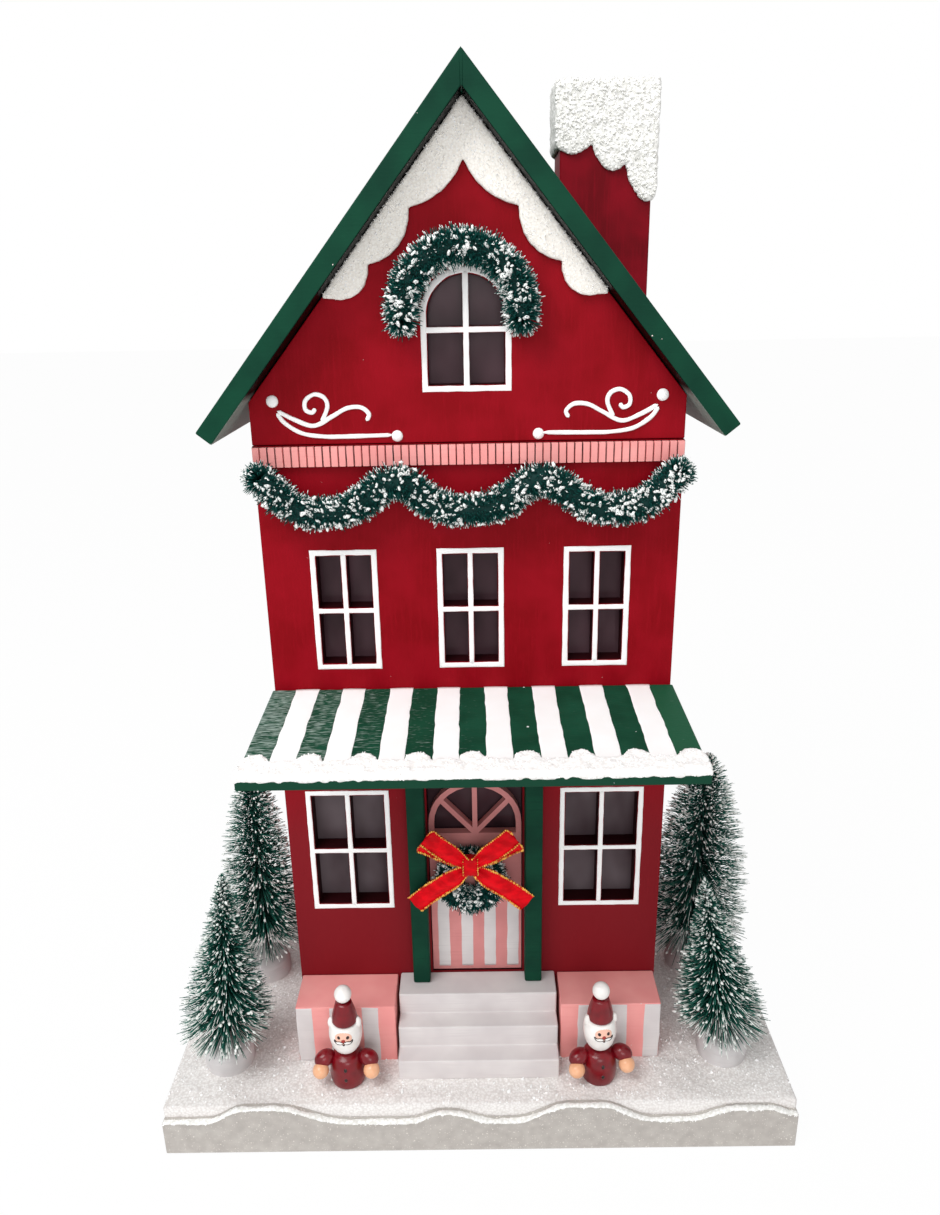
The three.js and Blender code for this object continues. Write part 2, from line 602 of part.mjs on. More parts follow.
const aroundWaist = (half, t, h) => box(-half, half, -t, t, -h, h);
const [holeT, holeH] = [waistT / 2 + SEAT, waistH / 2 + SEAT];
const knot = cut(aroundWaist(KNOT_W / 2, knotHalfT, holeH + RIBBON_T),
  aroundWaist(KNOT_W, holeT, holeH));
const knotRoom = cut(aroundWaist(KNOT_W / 2 + SEAT, knotHalfT + SEAT, holeH + RIBBON_T + SEAT),
  aroundWaist(KNOT_W, waistT / 2, waistH / 2));
add('ribbon_bow', cut(bow, knotRoom).translate(WREATH_X, bowY, bowZ), RIBBON);
add('bow_knot', knot.translate(WREATH_X, bowY, bowZ), RIBBON);

// Bottle-brush trees: a twisted wire, a dense inner brush and single strands to the outline
function strand(angle, lift, z, from, to, width) {
  const out = new THREE.Vector3(Math.cos(angle) * Math.cos(lift), Math.sin(angle) * Math.cos(lift),
    Math.sin(lift));
  const side = new THREE.Vector3(-Math.sin(angle), Math.cos(angle), 0);
  const up = new THREE.Vector3().crossVectors(out, side);
  const root = new THREE.Vector3(0, 0, z).addScaledVector(out, from);
  const corners = [0, 1, 2].map((k) => {
    const t = 2 * Math.PI * k / 3;
    return root.clone().addScaledVector(side, width * Math.cos(t)).addScaledVector(up, width * Math.sin(t));
  });
  const tip = new THREE.Vector3(0, 0, z).addScaledVector(out, to);
  const geometry = new THREE.BufferGeometry().setFromPoints([...corners, tip]);
  geometry.setIndex([0, 2, 1, 0, 1, 3, 1, 2, 3, 2, 0, 3]);
  return geometry;
}

function brushTree({ r, h }) {
  const [foot, top] = [STAND_H + 2, h];
  const reach = (t) => r * (0.14 + 0.86 * (1 - t)) * Math.min(1, 0.88 + 3 * t);
  const coreR = (t) => 0.46 * reach(t);
  const rows = [0, 0.06, 0.3, 0.6, 0.88, 0.98];
  const core = turned([
    [0, STAND_H * 0.45], [WIRE_R, STAND_H * 0.45], [WIRE_R, foot],
    ...rows.map((t) => [coreR(t), foot + 0.5 + (top - foot - 2) * t]), [0, top],
  ], 9);
  const golden = Math.PI * (3 - Math.sqrt(5));
  let solid = toSolid(core);
  for (let i = 0; i < STRANDS; i += 1) {
    const t = Math.pow((i + 0.5) / STRANDS, 1.25);
    const lift = THREE.MathUtils.degToRad(-10 + 34 * t);
    const z = foot + 2.2 + (top - foot - 6) * t;
    const spike = strand(i * golden, lift, z, 0.3 * coreR(t), reach(t), 0.8);
    solid = solid.add(toSolid(spike));
  }
  return fromSolid(solid);
}
const stand = () => turned([
  [0, 0], [STAND_R, 0], [STAND_R, STAND_H * 0.6], [STAND_R * 0.86, STAND_H * 0.88],
  [STAND_R * 0.5, STAND_H], [WIRE_R + SEAT, STAND_H], [WIRE_R + SEAT, STAND_H * 0.4],
  [0, STAND_H * 0.4],
], 16);
const frontTreeX = BASE_W / 2 - TREE_EDGE - FRONT_TREE.r;
const rearTreeX = HOUSE_W / 2 + TREE_WALL + REAR_TREE.r;
const trees = [
  ['front_left', FRONT_TREE, -frontTreeX, -14.2], ['front_right', FRONT_TREE, frontTreeX - 2, -13],
  ['rear_left', REAR_TREE, -rearTreeX, 28.8], ['rear_right', REAR_TREE, rearTreeX, 30.5],
];
for (const [where, size, x, y] of trees) {
  add(`tree_${where}`, brushTree(size).translate(x, WALL_Y + y, BASE_T + GLUE), BRISTLE);
  add(`tree_stand_${where}`, stand().translate(x, WALL_Y + y, BASE_T), WHITE);
}

// Turned dolls
const ball = (r, sides = 12, rings = 7) => turned(Array.from({ length: rings + 1 }, (_, i) => {
  const t = Math.PI * i / rings;
  return [i % rings ? r * Math.sin(t) : 0, -r * Math.cos(t)];
}), sides);
const bodyProfile = (grow) => [
  [0, -grow], [BODY_R * 0.87 + grow, -grow], [BODY_R + grow, BODY_H * 0.25],
  [BODY_R + grow, BODY_H * 0.62], [BODY_R * 0.86 + grow, BODY_H * 0.9],
  [BODY_R * 0.6 + grow, BODY_H + grow], [0, BODY_H + grow],
];
const sleeveTilt = THREE.MathUtils.degToRad(38);
const headFoot = BODY_H + GLUE;
const hatFoot = headFoot + HEAD_H * 0.76;
const headAt = (z) => {
  const t = (z - headFoot - HEAD_H / 2) / (HEAD_H / 2 + 0.35);
  return HEAD_R * Math.sqrt(Math.max(0, 1 - t * t));
};
const headZ = [0, 0.08, 0.2, 0.35, 0.5, 0.65].map((t) => headFoot + HEAD_H * t);
DOLL_X.forEach((x, i) => {
  const name = i ? 'doll_right' : 'doll_left';
  const y = WALL_Y - GLUE - PLANTER_D - DOLL_GAP - BODY_R;
  const place = (geometry) => geometry.rotateZ(THREE.MathUtils.degToRad(DOLL_TURN[i]))
    .translate(x, y, BASE_T);
  add(`${name}_body`, place(turned(bodyProfile(0), 16)), GLOSS_RED);
  add(`${name}_head`, place(turned([
    [0, headFoot], ...headZ.map((z) => [headAt(z), z]), [headAt(hatFoot), hatFoot], [0, hatFoot],
  ], 16)), GLOSS_WHITE);
  add(`${name}_hat`, place(turned([
    [0, hatFoot + GLUE], [HAT_R, hatFoot + GLUE], [HAT_R * 0.97, hatFoot + HAT_H * 0.25],
    [HAT_TOP_R, hatFoot + HAT_H], [0, hatFoot + HAT_H],
  ], 14)), GLOSS_RED);
  add(`${name}_pompom`,
    place(ball(POM_R).translate(0, 0, hatFoot + HAT_H + GLUE + POM_R)), GLOSS_WHITE);
  for (const side of [-1, 1]) {
    const hand = [side * (BODY_R + 2.4), -4, BODY_H * 0.62];
    const sleeve = ball(SLEEVE_R, 12, 7).scale(1, 1, 1.35).rotateX(-sleeveTilt)
      .rotateY(side * sleeveTilt * 0.6).translate(side * (BODY_R + 1.2), -1.5, BODY_H * 0.84);
    const label = side < 0 ? 'left' : 'right';
    add(`${name}_sleeve_${label}`, place(cut(sleeve, turned(bodyProfile(SEAT), 16),
      ball(HAND_R + SEAT).translate(...hand))), GLOSS_RED);
    add(`${name}_hand_${label}`, place(ball(HAND_R).translate(...hand)), SKIN);
  }
});

export default group;
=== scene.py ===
# %% [markdown]
# A painted wooden Christmas house, dressed for its portrait.
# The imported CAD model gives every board, block and turned piece at its real place. This script
# keeps those places, paints the wood, and makes what a saw can't: bristles, snow, painted lines,
# a ribbon bow and the dolls' smooth turned forms. Lengths are written in millimetres, as the
# house was measured, and turned to metres where a piece is made.

import bmesh
import bpy
import numpy as np
from mathutils import Matrix, Vector


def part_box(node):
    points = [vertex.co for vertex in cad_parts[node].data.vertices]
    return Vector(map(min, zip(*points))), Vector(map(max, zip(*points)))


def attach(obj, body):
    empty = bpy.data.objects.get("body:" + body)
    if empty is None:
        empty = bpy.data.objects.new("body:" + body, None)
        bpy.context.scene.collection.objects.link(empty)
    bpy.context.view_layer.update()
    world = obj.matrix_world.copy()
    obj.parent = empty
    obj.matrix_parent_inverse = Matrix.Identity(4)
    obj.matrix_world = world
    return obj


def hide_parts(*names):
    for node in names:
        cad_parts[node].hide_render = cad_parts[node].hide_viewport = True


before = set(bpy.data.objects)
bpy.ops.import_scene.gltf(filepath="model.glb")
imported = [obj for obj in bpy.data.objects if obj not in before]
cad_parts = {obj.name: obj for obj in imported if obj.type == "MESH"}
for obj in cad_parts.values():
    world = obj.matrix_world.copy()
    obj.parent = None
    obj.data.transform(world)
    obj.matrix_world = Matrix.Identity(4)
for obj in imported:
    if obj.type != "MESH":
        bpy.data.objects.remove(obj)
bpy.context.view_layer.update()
MM = 0.001


def span(node):
    """Lowest and highest corner of a CAD node, in millimetres."""
    low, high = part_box(node)
    return np.array(low) / MM, np.array(high) / MM


print("the frame has", len(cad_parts), "nodes")

# %% [markdown]
# The camera stands where the photographer did: a little over a quarter of a metre in front of
# the wall, level with the gable window, looking 19 degrees down. So near, it makes the upright
# edges lean towards each other: the distance matters as much as the lens does. The lens is given
# for the long side of the picture, which Blender fits first.

# %% Camera
wall_y = span("front_wall")[0][1]
PICTURE = (940, 1215)
FOCAL_PX = 922
CAMERA_BACK = 257.8
CAMERA_UP = 258.6
CAMERA_X = 1.6
LOOK_DOWN = np.radians(19.0)
HEADING = np.radians(0.42)
ROLL = np.radians(-1.06)

camera = bpy.data.objects.new("camera", bpy.data.cameras.new("camera"))
camera.data.sensor_width = 36
camera.data.lens = FOCAL_PX / max(PICTURE) * camera.data.sensor_width
camera.data.clip_start = 0.01
camera.matrix_world = (
    Matrix.Translation(np.array([CAMERA_X, wall_y - CAMERA_BACK, CAMERA_UP]) * MM)
    @ Matrix.Rotation(HEADING, 4, "Z")
    @ Matrix.Rotation(np.pi / 2 - LOOK_DOWN, 4, "X")
    @ Matrix.Rotation(ROLL, 4, "Z")
)
bpy.context.scene.collection.objects.link(camera)
bpy.context.scene.camera = camera
print("lens", round(camera.data.lens, 2), "mm")

# %% [markdown]
# Product pictures like this one are lit by big soft boxes with white card all round. The world
# stands for the cards. A wide lamp above and to the left brightens the tops, and one in front,
# over the camera, reaches the gable under the roof's edge. Only rays that go straight to the
# camera, or are mirrored or passed on by a clear surface, see the world as pure white.

# %% Node helper, colours and light
def linear(code):
    """sRGB hex to linear light: a twelfth-and-a-bit near black, else the 2.4 power curve."""
    srgb = np.array([int(code[i:i + 2], 16) for i in (1, 3, 5)]) / 255
    rgb = np.where(srgb <= 0.04045, srgb / 12.92, ((srgb + 0.055) / 1.055) ** 2.4)
    return (*rgb, 1.0)


def add(tree, kind, values=None, links=None, **settings):
    """One node: settings are its properties, values its input numbers, links its inputs."""
    made = tree.nodes.new("ShaderNode" + kind)
    for name, value in settings.items():
        setattr(made, name, value)
    for key, value in (values or {}).items():
        made.inputs[key].default_value = value
    for key, socket in (links or {}).items():
        tree.links.new(socket, made.inputs[key])
    return made


def seen_white(tree):
    """1 for rays straight from the camera, mirrored, or passed on by a clear surface, else 0."""
    ray = add(tree, "LightPath").outputs
    straight = add(tree, "Math", None, {0: ray["Is Camera Ray"], 1: ray["Is Glossy Ray"]},
                   operation="MAXIMUM")
    return add(tree, "Math", None, {0: straight.outputs[0], 1: ray["Is Transmission Ray"]},
               operation="MAXIMUM").outputs[0]


WORLD_LIGHT = 0.5
world = bpy.data.worlds.new("white_cards")
bpy.context.scene.world = world
world.use_nodes = True
tree = world.node_tree
tree.nodes.clear()
level = add(tree, "MapRange", {"To Min": WORLD_LIGHT, "To Max": 1.0}, {"Value": seen_white(tree)})
white = add(tree, "Background", {"Color": linear("#FFFFFF")}, {"Strength": level.outputs[0]})
add(tree, "OutputWorld", None, {"Surface": white.outputs[0]})


def soft_box(name, place, target, size, watts):
    """A square lamp, size mm wide, at place and facing target (both in mm)."""
    lamp = bpy.data.objects.new(name, bpy.data.lights.new(name, "AREA"))
    lamp.data.size = size * MM
    lamp.data.energy = watts
    lamp.location = Vector(place) * MM
    towards = Vector(target) - Vector(place)
    lamp.rotation_euler = towards.to_track_quat("-Z", "Y").to_euler()
    bpy.context.scene.collection.objects.link(lamp)


soft_box("overhead_box", place=(-330, -360, 780), target=(0, 0, 120), size=460, watts=4.6)
soft_box("front_box", place=(60, -900, 420), target=(0, 0, 150), size=420, watts=2.0)
bpy.context.scene.view_settings.view_transform = "Standard"
print("two lamps and the world")

# %% [markdown]
# Every finish below starts with a principled surface and the object's own coordinates, so that
# a pattern stays on the wood from every side. Two patterns come back again and again. Clouds are
# smooth noise, stretched one way for brush marks and wood grain. Flakes are single specks of
# glitter: each cell of a cell pattern holds one dot, and only cells with a high random number
# keep theirs. Many finishes need no more than two tones and soft bumps, so they share a function.

# %% Finishes: shared start and patterns
def finish(name, roughness, **sockets):
    """A new material, its node tree, its principled shader and the Object coordinates."""
    material = bpy.data.materials.new(name)
    material.use_nodes = True
    tree = material.node_tree
    shader = tree.nodes["Principled BSDF"]
    shader.inputs["Roughness"].default_value = roughness
    for key, value in sockets.items():
        shader.inputs[key.replace("_", " ")].default_value = value
    place = add(tree, "TexCoord").outputs["Object"]
    return material, tree, shader, place


def clouds(tree, place, size, detail=2):
    """Noise with lumps about size = (x, y, z) mm across; its factor."""
    scale = [1 / (s * MM) for s in size]
    spread = add(tree, "Mapping", {"Scale": scale}, {"Vector": place})
    return add(tree, "TexNoise", {"Scale": 1, "Detail": detail},
               {"Vector": spread.outputs[0]}).outputs["Fac"]


def flakes(tree, place, spacing, radius, share):
    """Specks up to radius mm, one in each cell of spacing mm, kept in that share of the cells."""
    cells = add(tree, "TexVoronoi", {"Scale": 1 / (spacing * MM)}, {"Vector": place})
    parts = add(tree, "SeparateColor", None, {0: cells.outputs["Color"]})
    size = add(tree, "Math", {1: radius / spacing}, {0: parts.outputs[1]}, operation="MULTIPLY")
    inside = add(tree, "Math", None, {0: cells.outputs["Distance"], 1: size.outputs[0]},
                 operation="LESS_THAN")
    kept = add(tree, "Math", {1: share}, {0: parts.outputs[0]}, operation="LESS_THAN")
    both = add(tree, "Math", None, {0: inside.outputs[0], 1: kept.outputs[0]}, operation="MULTIPLY")
    return both.outputs[0]


def blended(tree, factor, first, second):
    """Colour that goes from first to second with the factor; each is a hex code or a socket."""
    values, links = {}, {0: factor}
    for key, colour in ((6, first), (7, second)):
        if isinstance(colour, str):
            values[key] = linear(colour)
        else:
            links[key] = colour
    return add(tree, "Mix", values, links, data_type="RGBA").outputs[2]


def relief(tree, shader, height, depth):
    """Bump of depth mm from a height socket."""
    bump = add(tree, "Bump", {"Distance": depth * MM, "Strength": 1.0}, {"Height": height})
    tree.links.new(bump.outputs[0], shader.inputs["Normal"])


def sharpened(tree, value, low, high):
    """0 below low, 1 above high, straight between."""
    return add(tree, "MapRange", {"From Min": low, "From Max": high}, {"Value": value}).outputs[0]


def two_toned(name, roughness, tones, patch, edge=(0.3, 0.7), bumps=None, depth=0, **sockets):
    """A finish that drifts between two tones in patches of patch mm; edge says how sharply. Bumps
    are waves of bumps mm, depth mm deep."""
    material, tree, shader, place = finish(name, roughness, **sockets)
    tone = sharpened(tree, clouds(tree, place, patch), *edge)
    tree.links.new(blended(tree, tone, *tones), shader.inputs["Base Color"])
    if bumps:
        relief(tree, shader, clouds(tree, place, bumps), depth)
    return material


# %% [markdown]
# The walls, roof, awning and posts are plywood with two coats of matt acrylic paint. The second
# coat leaves soft patches about a centimetre wide, the brush leaves fine lines along its stroke,
# and stray glitter from the snow sticks to it. Acrylic has an IOR near 1.5 and dries to a
# roughness of about a half; a matt one scatters most of its gloss away, so its specular level is
# low. The windows were cut by laser, which scorches their inner sides: the wall's coat stops just
# behind its face, and the dark red there is also painted shade in the openings. Low on the walls,
# under the awning, the red is painted greyer: a painted reflection of the white snow below.

# %% Painted boards
STRAY_SPACING, STRAY_FLAKE, STRAY_COLOUR = 2.8, 0.38, "#EBDDD8"
MATT = 0.07
PATCHES, PATCH_EDGE, STREAK_EDGE = (11, 11, 11), (0.35, 0.65), (0.52, 0.8)
RED_STROKE, GREEN_STROKE, STROKE_DEPTH = (0.7, 0.7, 9), (9, 9, 0.6), 0.05
COAT_DEPTH, SCORCH_SHADE_FADE = 0.3, 0.2
OPENINGS_HALF = 58
FORWARDS = (-0.75, -0.65)
SNOW_REFLECTION_TOP, SNOW_REFLECTION_FULL, SNOW_REFLECTION_RED = 125, 92, "#801A22"
SCORCH_AND_SHADE_RED = "#2C080D"
RED_TONES, GREEN_TONES = ("#850411", "#930819"), ("#10412F", "#0C3628")


def patchy(tree, place, size, colour, patch):
    """Two shades of one paint that change in soft patches of size mm."""
    return blended(tree, sharpened(tree, clouds(tree, place, size), *PATCH_EDGE), colour, patch)


def specked(tree, place, coat, share):
    """A coat with stray glitter in that share of its places."""
    return blended(tree, flakes(tree, place, STRAY_SPACING, STRAY_FLAKE, share), coat, STRAY_COLOUR)


def reached(tree, distance, start, full):
    """0 before start and 1 past full, whichever is larger: both are in mm, and the shader's
    distance is in metres."""
    return sharpened(tree, distance, start * MM, full * MM)


def painted_board(name, colour, patch, roughness=0.52, stroke=(12, 12, 0.6), stray=0.2, cut=False,
                  sides=None):
    """Brushed acrylic: patches of a second shade, brush lines along stroke, stray glitter; cut
    boards are painted a greyer red low down, as a reflection of the white snow, and behind their
    face between the side walls a dark red that is laser scorch and painted shade in the openings;
    sides is a colour for all that doesn't face forwards, used as painted shade."""
    material, tree, shader, place = finish(name, roughness, IOR=1.5, Specular_IOR_Level=MATT)
    lines = clouds(tree, place, stroke, 3)
    coat = patchy(tree, place, PATCHES, colour, patch)
    coat = blended(tree, sharpened(tree, lines, *STREAK_EDGE), coat, patch)
    coat = specked(tree, place, coat, stray)
    if cut:
        where = add(tree, "SeparateXYZ", None, {0: place})
        # A greyer red low down, fading out upwards: painted reflection of the white snow.
        coat = blended(tree, reached(tree, where.outputs[2], SNOW_REFLECTION_TOP, SNOW_REFLECTION_FULL), coat, SNOW_REFLECTION_RED)
        # Behind the face, between the side walls: dark red for the laser scorch and painted shade in the
        # openings.
        back = wall_y + COAT_DEPTH
        behind = reached(tree, where.outputs[1], back, back + SCORCH_SHADE_FADE)
        across = add(tree, "Math", None, {0: where.outputs[0]}, operation="ABSOLUTE").outputs[0]
        between = reached(tree, across, OPENINGS_HALF, OPENINGS_HALF - 1)
        scorch_and_shade = add(tree, "Math", None, {0: behind, 1: between}, operation="MULTIPLY").outputs[0]
        coat = blended(tree, scorch_and_shade, coat, SCORCH_AND_SHADE_RED)
    if sides:
        facing = add(tree, "SeparateXYZ", None, {0: add(tree, "NewGeometry").outputs["True Normal"]})
        coat = blended(tree, sharpened(tree, facing.outputs[1], *FORWARDS), coat, sides)
    tree.links.new(coat, shader.inputs["Base Color"])
    relief(tree, shader, lines, STROKE_DEPTH)
    return material


red_paint = painted_board("red_acrylic_on_plywood", *RED_TONES, stroke=RED_STROKE)
sawn_red = painted_board("red_acrylic_laser_cut", *RED_TONES, stroke=RED_STROKE, cut=True)
chimney_paint = painted_board("red_acrylic_brushed", "#6A0512", "#83081A", stroke=(0.8, 0.8, 14),
                              stray=0.12)
green_paint = painted_board("green_acrylic_on_plywood", *GREEN_TONES, stroke=GREEN_STROKE, stray=0.08)
pink_paint = painted_board("pink_acrylic_on_wood", "#F5A7A3", "#F09C99", stray=0.1)
door_paint = painted_board("pink_acrylic_door", "#DD9290", "#D28887", stray=0.0)
# The sticks' sides are painted dark red: painted shade in the gaps between them.
band_paint = painted_board("pink_acrylic_on_sticks", "#E6AFAD", "#DC9F9D", stray=0.1, sides="#3A0A10")
white_paint = painted_board("white_acrylic_on_wood", "#E0DAD9", "#D5CECE", stray=0.0)
line_paint = painted_board("white_line_paint", "#FFFFFF", "#FCFBFA", roughness=0.45, stray=0.0)
print("board paints:", red_paint.name, green_paint.name, pink_paint.name)

# %% [markdown]
# A new piece is a table of points and a table of faces. Most pieces are lofts: rings of points,
# one after another, skinned with quads and closed at both ends. A turned head, a brushed line of
# paint and a single bristle are all lofts, so one function makes the faces of any number of them.

# %% Mesh helpers
def placed(name, mesh, material, replaces=(), smooth=True):
    """A new object of one material that rides on the house and stands for the nodes it replaces."""
    mesh.materials.clear()
    mesh.materials.append(material)
    mesh.polygons.foreach_set("use_smooth", np.full(len(mesh.polygons), smooth))
    mesh.update()
    made = bpy.data.objects.new(name, mesh)
    bpy.context.scene.collection.objects.link(made)
    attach(made, "root")
    if replaces:
        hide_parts(*replaces)
    return made


def piece(name, points, faces, material, slot, replaces=(), smooth=True, **attributes):
    """A placed object from points (n x 3, mm) and blocks of faces, with numbers on its points."""
    mesh = bpy.data.meshes.new(name)
    mesh.from_pydata((points * MM).tolist(), [], [f for block in faces for f in block.tolist()])
    for key, values in attributes.items():
        layer = mesh.attributes.new(key, "FLOAT", "POINT")
        layer.data.foreach_set("value", np.asarray(values, np.float32).ravel())
    return placed(name, mesh, material, replaces, smooth)


def lofts(rings, closed=False):
    """Points and faces of k lofts from rings shaped (k, rows, sides, 3): quads join each row to
    the next, and one flat face closes each end; a closed loft joins its last row to its first."""
    k, rows, sides, _ = rings.shape
    index = np.arange(k * rows * sides).reshape(k, rows, sides)
    ahead = np.roll(index, -1, axis=1)
    quads = np.stack([index, np.roll(index, -1, axis=2), np.roll(ahead, -1, axis=2), ahead], -1)
    if closed:
        return rings.reshape(-1, 3), [quads.reshape(-1, 4)]
    caps = np.concatenate([index[:, 0, ::-1], index[:, -1]])
    return rings.reshape(-1, 3), [quads[:, :-1].reshape(-1, 4), caps]


def joined(*parts):
    """Several (points, faces) pairs as one."""
    points, faces, count = [], [], 0
    for some, blocks in parts:
        points.append(some)
        faces += [block + count for block in blocks]
        count += len(some)
    return np.concatenate(points), faces


def value_noise(points, cell, seed):
    """Smooth noise in -1..1: a random number on each corner of a lattice of cubes, cell mm wide,
    blended between the corners by the ease curve 3t^2 - 2t^3."""
    low = np.floor(points / cell)
    t = points / cell - low
    t = t * t * (3 - 2 * t)
    total = np.zeros(len(points))
    for corner in np.ndindex(2, 2, 2):
        h = (low + corner).astype(np.int64) @ [73856093, 19349663, 83492791] + seed * 26544357
        h = (h ^ (h >> 13)) * 1274126177
        h = (h ^ (h >> 16)) & 0xFFFFFF
        total += np.prod(np.where(corner, t, 1 - t), axis=1) * (h / 0x7FFFFF - 1)
    return total


def through(points, steps):
    """A smooth line through points: on each span, the cubic whose end slopes are half the
    difference between its neighbours."""
    p = np.asarray(points, float)
    p = np.vstack([2 * p[0] - p[1], p, 2 * p[-1] - p[-2]])
    t = np.linspace(0, 1, steps, endpoint=False)[:, None, None]
    a, b, c, d = p[:-3], p[1:-2], p[2:-1], p[3:]
    line = 0.5 * (2 * b + (c - a) * t + (2 * a - 5 * b + 4 * c - d) * t**2
                  + (3 * b - a - 3 * c + d) * t**3)
    return np.vstack([line.transpose(1, 0, 2).reshape(-1, p.shape[1]), p[-2]])


def reach_of(path):
    """Distance along a path at each of its points."""
    return np.r_[0, np.cumsum(np.linalg.norm(np.diff(path, axis=0), axis=1))]


def point_at(path, at):
    """Points of a path at distances along it."""
    return np.stack([np.interp(at, reach_of(path), side) for side in path.T], -1)


print("mesh helpers ready")

# %% [markdown]
# The CAD boards are sharp. Real ones are sanded before they are painted, and paint pulls back a
# little from every edge, so light catches a thin line there. A copy of each board gets a bevel of
# a few tenths of a millimetre; its triangles are merged into flat faces first, so that only real
# edges are eased. Under the roof, between the walls, the roof boards' undersides are painted near
# black instead of green, as painted shade in the gap over the gable, and beyond the walls their
# undersides are painted a pale grey-green, as painted light bounced up from the snow.

# %% Boards with eased edges
def merged_copy(node, name, flatten=False):
    """A copy of a CAD node's mesh whose triangles share corners, merged to flat faces if asked."""
    copy = bmesh.new()
    copy.from_mesh(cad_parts[node].data)
    bmesh.ops.remove_doubles(copy, verts=copy.verts, dist=0.001 * MM)
    if flatten:
        bmesh.ops.dissolve_limit(copy, angle_limit=np.radians(1), verts=copy.verts, edges=copy.edges)
    mesh = bpy.data.meshes.new(name)
    copy.to_mesh(mesh)
    copy.free()
    return mesh


def eased(node, material, edge):
    """A copy of a CAD node with its sharp edges rounded by edge mm."""
    name = node + "_painted"
    made = placed(name, merged_copy(node, name, True), material, [node], smooth=False)
    bevel = made.modifiers.new("sanded_edge", "BEVEL")
    bevel.width = edge * MM
    bevel.segments = 2
    bevel.limit_method = "ANGLE"
    bevel.angle_limit = np.radians(35)
    bevel.harden_normals = True


BOUNCE_LIGHT_GREY, GAP_SHADE_BLACK = "#7F8B83", "#020705"
DOWNWARDS = (-0.3, -0.4)


def roof_finish():
    """Green acrylic; undersides are painted pale grey-green as light bounced up from the snow, and near
    black between the side walls as painted shade.
    """
    material, tree, shader, place = finish("green_acrylic_roof", 0.52, IOR=1.5,
                                           Specular_IOR_Level=MATT)
    coat = specked(tree, place, patchy(tree, place, PATCHES, *GREEN_TONES), 0.2)
    facing = add(tree, "SeparateXYZ", None, {0: add(tree, "NewGeometry").outputs["True Normal"]})
    under = sharpened(tree, facing.outputs[2], *DOWNWARDS)
    where = add(tree, "SeparateXYZ", None, {0: place})
    across = add(tree, "Math", None, {0: where.outputs[0]}, operation="ABSOLUTE").outputs[0]
    inside = reached(tree, across, OPENINGS_HALF + 2, OPENINGS_HALF)
    # Undersides: pale grey-green painted light from the snow; between the walls, near-black painted
    # shade.
    coat = blended(tree, under, coat, BOUNCE_LIGHT_GREY)
    gap_shade = add(tree, "Math", None, {0: under, 1: inside}, operation="MULTIPLY").outputs[0]
    coat = blended(tree, gap_shade, coat, GAP_SHADE_BLACK)
    tree.links.new(coat, shader.inputs["Base Color"])
    relief(tree, shader, clouds(tree, place, GREEN_STROKE, 3), STROKE_DEPTH)
    return material


RED, GREEN, PINK = "red_painted_board", "green_painted_board", "pink_painted_board"
WHITE = "white_painted_wood"
roof_paint = roof_finish()
boards = [
    ("front_wall", sawn_red, RED, 0.25), ("gable_board", sawn_red, RED, 0.25),
    ("back_wall", red_paint, RED, 0.4), ("left_wall", red_paint, RED, 0.25),
    ("right_wall", red_paint, RED, 0.25), ("chimney", chimney_paint, RED, 0.4),
    ("roof_left", roof_paint, GREEN, 0.4), ("roof_right", roof_paint, GREEN, 0.4),
    ("post_left", green_paint, GREEN, 0.5), ("post_right", green_paint, GREEN, 0.5),
    ("steps", white_paint, WHITE, 0.5), ("planter_left", pink_paint, PINK, 0.35),
    ("planter_right", pink_paint, PINK, 0.35), ("dentil_band", pink_paint, PINK, 0.12),
]
for node, material, slot, edge in boards:
    eased(node, material, edge)
print(len(boards), "boards eased")

# %% [markdown]
# The awning is one board, green all over. Near its left end the top was dragged over with an
# almost dry white brush, across the stripes, which leaves short broken pale streaks on the wood's
# high spots: noise stretched along the stroke and cut off hard, at a level that rises slowly from
# the left end. The front edge has no streaks, and the last stretch on the right is a tone lighter.

# %% Awning board
DRY_END, DRY_GONE, DRY_RISE = -56, 12, 0.31
DRY_EDGE, DRY_COVER, DRY_WHITE = (0.78, 0.9), 0.55, "#C6D6CE"
STREAK, STREAK_DEPTH = (2.6, 0.24, 3.0), 0.06
AWNING_PATCHES, AWNING_TONES = (9, 9, 9), ("#144834", "#0E3D2B")
LAST_STRETCH, LAST_TONE = 53, "#1D5239"
EDGE_END, TOP_START, EDGE_TONE = 0.6, 0.9, "#15402F"
FLECK_SPACING, FLECK, FLECK_SHARE, FLECK_COLOUR = 5, 0.5, 0.2, "#EDF0EE"
awning_low, awning_high = span("awning")


